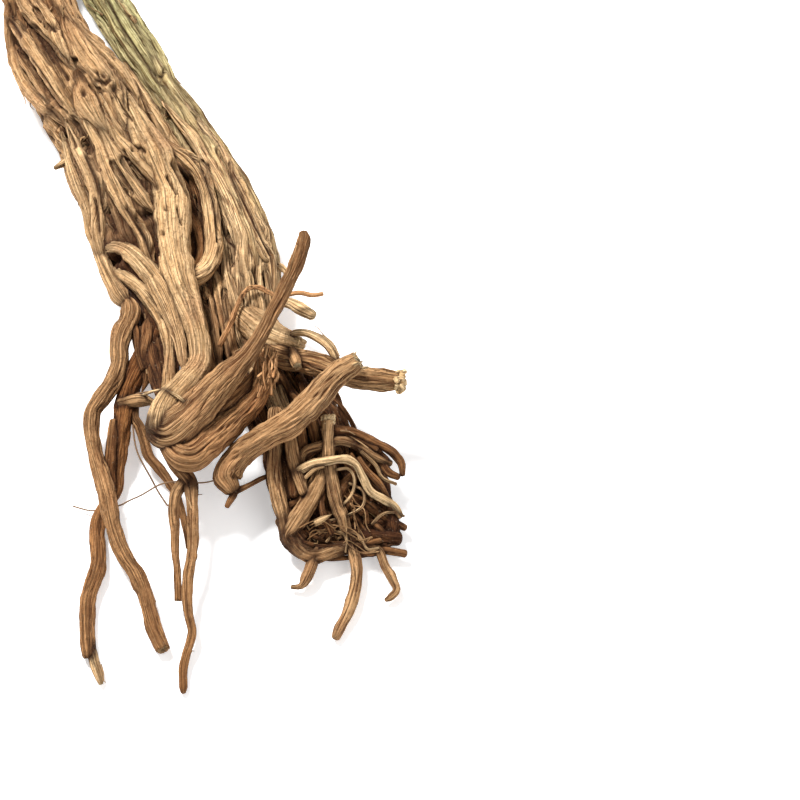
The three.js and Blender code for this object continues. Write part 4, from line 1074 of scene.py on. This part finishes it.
def dried_bark():
    """Straw and brown wood with fine streaks, grooves and cracks along the fibre, with painted shade in its
    furrows, near other strands and in slits.
    """
    shader = Shader("dried_bark")
    fibre = shader.attribute("fibre", "Vector")
    place = shader.node("ShaderNodeTexCoord", {}, output="Object")
    streaks = shader.grain(fibre, 0.03, scale=1.2, detail=3.0, roughness=0.55)
    threads = shader.grain(fibre, 0.05, scale=2.6, detail=3.0, roughness=0.65)
    grooves = shader.valleys(shader.grain(fibre, 0.022, scale=0.8, detail=2.0, roughness=0.5), 0.028)
    cracks = shader.valleys(shader.grain(fibre, 0.035, scale=1.7, detail=2.0, roughness=0.6), 0.035)
    folds = shader.valleys(shader.noise(shader.scaled(fibre, (0.3, 0.3, 1.0)), 0.9, 2.0, 0.6), 0.03)
    patches = shader.noise(place, 60.0, 3.0)
    blotches = shader.noise(place, 260.0, 4.0, 0.65)
    grit = shader.noise(place, 1300.0, 2.0)
    tone = streaks * 0.45 + threads * 0.3 + blotches * 0.25 + 0.025 * shader.attribute("own")
    tone = tone.between(0.34, 0.66)
    colour = shader.mixed(tone, *BARK_PAINTS)
    colour = shader.mixed(patches.between(0.5, 0.68) * 0.4, colour, PATCH)
    for tint, paints in TINT_PAINTS.items():
        share = shader.attribute(tint)
        if tint == "green":
            share = share * (0.7 + 0.3 * patches)
        colour = shader.mixed(share, colour, shader.mixed(tone, *paints))
    lined = 1 - 0.75 * shader.attribute("smooth")
    wrinkled = folds * patches.between(0.5, 0.6) * (1.1 - lined)
    # Painted shade in the skin's folds and furrows, less where it is smooth
    furrow_shade = shader.attribute("furrow_shade").between(0.55, 0.9) * (0.5 + 0.4 * threads) * (0.3 + 0.7 * lined)
    colour = shader.mixed(grooves * 0.8 * lined, colour, GROOVE)
    colour = shader.mixed(cracks * (0.15 + 0.6 * streaks) * lined, colour, CRACK)
    colour = shader.mixed(wrinkled * 0.22, colour, WRINKLE)
    colour = shader.mixed(furrow_shade, colour, FURROW_SHADE)
    colour = shader.mixed(shader.attribute("shade") * 0.9, colour, SHADE)
    colour = shader.mixed(grit.between(0.54, 0.68) * (0.6 - 0.3 * lined), colour, GRIT)
    colour = shader.mixed((1 - grit).between(0.6, 0.75) * 0.12, colour, PALE_GRIT)
    cut = shader.mixed(blotches.between(0.35, 0.6), *CUT_PAINTS)
    colour = shader.mixed(shader.attribute("cut"), colour, cut)
    height = threads * 0.5 + streaks * 0.4 + blotches * 0.5 + grit * 0.3 - grooves * 0.6 - cracks * 0.4
    height = height - wrinkled * 0.25
    bump = shader.node("ShaderNodeBump", {}, Strength=1.0, Distance=0.001, Height=height)
    roughness = 0.8 + 0.15 * tone
    return shader.finish(Base_Color=colour, Roughness=roughness, Normal=bump, Specular_IOR_Level=0.15)


def plain(name, colour, glow=0.0):
    """One matt colour all over."""
    shader = Shader(name)
    return shader.finish(Base_Color=colour, Roughness=0.9, Emission_Color=colour, Emission_Strength=glow)


# The strands of the root, by the piece that they go into

ROPE = dict(fade=(10, 10), step=0.85, pitch=0.38, knots=0.04)
SLIM_ROPE = dict(ROPE, knots=0)
RIB = dict(fade=(12, 12), pitch=0.26, step=0.5, knots=0.16, smooth=(0.4, 0.8), coarse_depth=0.12,
           fine_depth=0.2)
LAID = dict(fade=(12, 4), pitch=0.28, step=0.65, shadow=0.6, coarse_depth=0.16, fine_depth=0.13)
ROOT = dict(coarse_depth=0.15, fine_depth=0.26, knots=0.08, pitch=0.22, step=0.6)
THIN = dict(coarse_depth=0.2, fine_depth=0.2, knots=0.06)
GRAINY = dict(THIN, smooth=(0.45, 0.75), pitch=0.26, step=0.65)
DEAD_WOOD = dict(coarse_depth=0.3, fine_depth=0.2, knots=0.2)
TORN = dict(hair=True, step=0.5, pitch=0.3)
PEELED = dict(hair=True, step=0.7, pitch=0.4, brown=(0.4, 0.2), straw=(0.2, 0.3))


def strands(routes, stem=None, **look):
    return [Strand(route, stem, **look) for route in routes]


def thick_stem():
    # Its dark tint, rising towards the crown end, is painted shade between the strands laid on it
    return [Strand(STEM, coarse=11, fine=46, coarse_depth=0.12, fine_depth=0.42, pitch=0.3, step=0.6,
                   wander=0.2, length=80, cut=(1, 0), brown=(1.2, -0.4), dark=(-2.2, 1.6), knots=0.12,
                   shadow=0.8)]


def stem_ropes(rng):
    """Ropes round the underside of the thick stem, and short ones all round it at the cut end."""
    under = ropes_over(STEM, rng, 8, (1.6, 3.0), last=0.8, lengths=(50, 100), turn=0.15, span=3.4)
    round_end = ropes_over(STEM, rng, 9, (1.4, 2.6), last=0.16, lengths=(20, 30), turn=0.15)
    return strands(under, brown=(0.4, 0.2), **ROPE) + strands(round_end, brown=(0.5, 0.4), **ROPE)


def stem_ribs(stem):
    return [*strands(STEM_RIBS.values(), stem, brown=(0.85, 0.05), shadow=0.75, **RIB),
            *strands(SLATS.values(), stem, shadow=0.4, **RIB)]


def slim_stem(rng):
    web_ropes = ropes_over(WEB, rng, 7, (0.8, 1.5), lengths=(25, 60))
    long_ropes = ropes_over(SECOND_STEM, rng, 8, (1.1, 1.6), 0.28, 0.85, (60, 100), 0.12)
    green_ropes = ropes_over(SECOND_STEM, rng, 6, (0.8, 1.2), 0.0, 0.42, (40, 80), 0.1)
    return [
        Strand(SECOND_STEM, coarse=8, fine=28, coarse_depth=0.18, fine_depth=0.4, wander=0.15, step=0.9,
               length=80, cut=(1, 0), green=(1.7, -0.9), knots=0.1, shadow=0.7),
        # The web's dark tint, rising towards the crown, is painted shade between the two stems
        Strand(WEB, brown=(0, 0.9), dark=(-0.5, 0.9), straw=(0.3, 0)),
        *strands(web_ropes, brown=(0.1, 0.3), **ROPE),
        *strands(long_ropes, green=(0.7, 0.1), straw=(0.2, 0.2), shadow=0.45, **SLIM_ROPE),
        *strands(green_ropes, green=(1, 0.9), shadow=0.5, **SLIM_ROPE),
    ]


def crown(stem):
    return [
        Strand(TAPROOT, stem, coarse_depth=0.11, fine_depth=0.09, fade=(24, 0), knots=0.3, pitch=0.24,
               step=0.55, smooth=(1, 0.6), lumpy=0.04),
        *strands(SURFACE_STRANDS.values(), stem, brown=(0, 0.3), smooth=(0.8, 0.4), knots=0.14, **LAID),
        Strand(LOOP, fade=(12, 4), **THIN),
        Strand(INNER_LOOP, orange=(0.4, 0.5), brown=(0.7, 0.7)),
        # Their dark tint is painted shade in the hollows of the crown
        *strands(CROWN_FILL, fade=(4, 4), brown=(0.8, 0.9), dark=(0.4, 0.3), **THIN),
        *strands(PALE_FILL, fade=(4, 4), brown=(0.1, 0.7), shadow=0.75, smooth=(0.5, 0.2), pitch=0.28,
                 step=0.65, **THIN),
    ]


def slim_stem_strands(second):
    return [*strands(SECOND_STEM_STRANDS.values(), second, straw=(0.25, 0.05), knots=0.03, **LAID),
            *strands(FINS, fade=(3, 3), straw=(0.4, 0.2), shadow=0.55, **THIN)]


def crossing_roots():
    return [
        Strand(RISING_ROOT, cut=(0, 1), brown=(0.5, 0.8), **ROOT),
        Strand(BROKEN_ROOT, orange=(-0.9, 0.8), brown=(0.7, 0.75), cut=(0, 1), **ROOT),
        Strand(HEEL_ROOT, cut=(0, 1), brown=(0.7, 0.5), **ROOT),
        Strand(CROSS_ROOT, cut=(0, 1), brown=(0.55, 0.5), **ROOT),
        *strands(BETWEEN_ROOTS, brown=(0.8, 0.9), **ROOT),
        Strand(LUMP, brown=(0.35, 0), smooth=(1.2, 1.1), straw=(0, 0.5), knots=0.4, coarse_depth=0.1,
               fine_depth=0.06, pitch=0.28, shadow=0.5),
        Strand(THIN_ORANGE_ROOT, orange=(0.55, 0.55), brown=(0.4, 0.4)),
        Strand(SIDE_STUB, cut=(0, 1), brown=(0.6, 0.6)),
        *strands(HEEL_TAILS, brown=(0.7, 0.9)),
    ]


def rootlets():
    return [
        Strand(LEFT_ROOTLET, cut=(0, 0.3), brown=(0.55, 0.85), fade=(6, 0), **GRAINY),
        Strand(PEELED_TIP, straw=(0.7, 0.4), brown=(0, 0.3), smooth=(0.5, 0.5), cut=(0, 1)),
        Strand(CROSSING_ROOTLET, brown=(1.1, 0.8), fade=(6, 0), cut=(0, 0.4), **GRAINY),
        Strand(SPUR, brown=(0.8, 1), cut=(1, 0), **GRAINY),
        Strand(STUB, brown=(0.4, 0.4)),
        Strand(SHORT_ROOTLET, brown=(0.7, 0.85), **GRAINY),
        Strand(FORK, brown=(0.6, 0.75)),
        Strand(FORK_LEFT, cut=(0, 0.5), brown=(0.6, 0.9), **GRAINY),
        Strand(FORK_RIGHT, brown=(0.6, 0.95), **GRAINY),
        Strand(BRIDGING_ROOTLET, straw=(0.8, 0.8)),
    ]


def tangle():
    return [
        *strands(TANGLE.values(), brown=(0.6, 0.5), **THIN),
        Strand(LONG_ROOTLET, straw=(0.2, 0.9), **THIN),
        Strand(UPRIGHT_ROOT, brown=(0.45, 0.6), cut=(1, 0), **THIN),
        *strands(SHOOTS, straw=(0.4, 0.4)),
        # Their dark tint is painted shade behind and under the other strands
        *strands(DEEP_TANGLE, brown=(0.9, 0.9), dark=(0.25, 0.3), **THIN),
        # Their dark tint is painted shade in the depths of the tangle
        *strands(DARK_MASS, brown=(1, 1), dark=(0.75, 0.9), **DEAD_WOOD),
        Strand(PALE_STUB, straw=(0.6, 0.8), brown=(0.3, 0), cut=(0.5, 1), fade=(0, 2)),
        *strands(FINE_TANGLE, straw=(0.3, 0.5), brown=(0.3, 0.2), step=0.5),
    ]


def bundles(rng):
    lines = [line for route, *rest in BUNDLES for line in bundle(route, rng, *rest)]
    # Their dark tint is painted shade deep in the tangle
    return strands(lines, brown=(0.9, 0.9), dark=(0.2, 0.35), step=1.2, pitch=0.5)


def threads(rng):
    lines = [line for route in THREADS for line in bundle(route, rng, 6, 2.4, (0.13, 0.22), 11)]
    return strands(lines, straw=(0, 0.2), brown=(0.7, 0.5), hair=True, step=0.6, pitch=0.3)


def torn_ends(rng):
    broken = splinters(BROKEN_ROOT, rng, 30, 1.6, 0.5)
    frayed = bundle(FRAYED_END, rng, 44, 2.3, (0.22, 0.5), 22)
    crumbly = [*crumbs(CROSS_ROOT, rng, 60, (0.4, 0.85)), *crumbs(LUMP, rng, 26, (0.4, 0.8)),
               *crumbs(UPRIGHT_ROOT[::-1], rng, 26, (0.4, 0.7))]
    heel = splinters(HEEL_ROOT, rng, 12, 0.6)
    return [
        *strands(broken, orange=(0.7, 0.5), **TORN),
        *strands(frayed, orange=(0.35, 0.5), brown=(0.35, 0.3), **TORN),
        *strands(crumbly, straw=(1, 1), smooth=(1.2, 1.2), **TORN),
        *strands(heel, straw=(0.7, 0.8), **TORN),
    ]


def all_strands(rng):
    """The strands of every piece, in the order in which they take their random numbers."""
    stem, second = filled(STEM), filled(SECOND_STEM)
    pieces = {
        "thick_stem": thick_stem(),
        "stem_ropes": stem_ropes(rng),
        "stem_ribs": stem_ribs(stem),
        "slim_stem": slim_stem(rng),
        "crown": crown(stem),
        "slim_stem_strands": slim_stem_strands(second),
        "crossing_roots": crossing_roots(),
        "rootlets": rootlets(),
        "tangle": tangle(),
        "bundles": bundles(rng),
        "threads": threads(rng),
    }
    whole = [strand for group in pieces.values() for strand in group]
    pieces["torn_ends"] = torn_ends(rng)
    pieces["loose_fibres"] = strands(loose_fibres(whole, rng, 260), **PEELED)
    return pieces


def dress():
    rng = np.random.default_rng(SEED)
    skins = {name: [strand.skin(rng) for strand in group] for name, group in all_strands(rng).items()}
    shades = iter(shade_between([skin for group in skins.values() for skin in group]))
    bark = dried_bark()
    for name, group in skins.items():
        piece = make_piece(name, group, [next(shades) for _ in group])
        piece.data.materials.append(bark)
        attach(piece, "root")
        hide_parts(NODE)
        piece.data.validate()


def hair_roots():
    """Thin dead hairs, each a bevelled curve."""
    material = plain("hair_root", HAIR_PAINT)
    for number, hair in enumerate(HAIRS):
        bpy.ops.object.select_all(action="DESELECT")
        bpy.ops.curve.primitive_nurbs_path_add()
        curve = bpy.context.object
        curve.name = f"hair_root_{number + 1}"
        curve.data.splines.clear()
        line = curve.data.splines.new("NURBS")
        line.points.add(len(hair) - 1)
        for point, place in zip(line.points, hair):
            point.co = (*((at_height(*place)[:3] - ROOT_MIDDLE) * MM), 1)
        line.use_endpoint_u = True
        line.order_u = 3
        curve.data.bevel_depth = HAIR_RADIUS * MM
        curve.data.bevel_resolution = 1
        curve.data.use_fill_caps = True
        bpy.ops.object.convert(target="MESH")
        curve.data.materials.append(material)
        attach(curve, "root")


# Stage, light and camera, in metres

def floor():
    bpy.ops.object.select_all(action="DESELECT")
    bpy.ops.mesh.primitive_plane_add(size=6, location=(0, 0, -0.0002))
    plane = bpy.context.object
    plane.name = "floor"
    plane.data.materials.append(plain("pale_floor", FLOOR_PAINT, glow=0.35))


def lamp(name, place, size, power):
    """A round lamp that points at the origin, under the middle of the root."""
    light = bpy.data.lights.new(name, "AREA")
    light.shape, light.size, light.energy = "DISK", size, power
    holder = bpy.data.objects.new(name, light)
    bpy.context.scene.collection.objects.link(holder)
    holder.location = place
    holder.rotation_mode = "QUATERNION"
    holder.rotation_quaternion = (-Vector(place)).to_track_quat("-Z", "Y")


def lights():
    lamp("key", place=(-0.4, 0.5, 1.0), size=0.3, power=26)
    lamp("fill", place=(0.7, -0.7, 0.9), size=0.9, power=5)
    world = bpy.data.worlds.new("studio")
    world.use_nodes = True
    background = world.node_tree.nodes["Background"]
    background.inputs["Color"].default_value = (1, 1, 1, 1)
    background.inputs["Strength"].default_value = 0.5
    bpy.context.scene.world = world


def plain_tones():
    """Colours are shown as they are painted, so that the pale floor comes out white."""
    bpy.context.scene.view_settings.view_transform = "Standard"


def camera():
    data = bpy.data.cameras.new("camera")
    data.sensor_width = 36
    data.lens = data.sensor_width * EYE_DISTANCE / FRAME_WIDTH
    holder = bpy.data.objects.new("camera", data)
    bpy.context.scene.collection.objects.link(holder)
    holder.location = (EYE - ROOT_MIDDLE) * MM
    holder.rotation_euler = (math.pi / 2 - LOOK_DOWN, 0, 0)
    bpy.context.scene.camera = holder


camera()
plain_tones()
lights()
floor()
dress()
hair_roots()
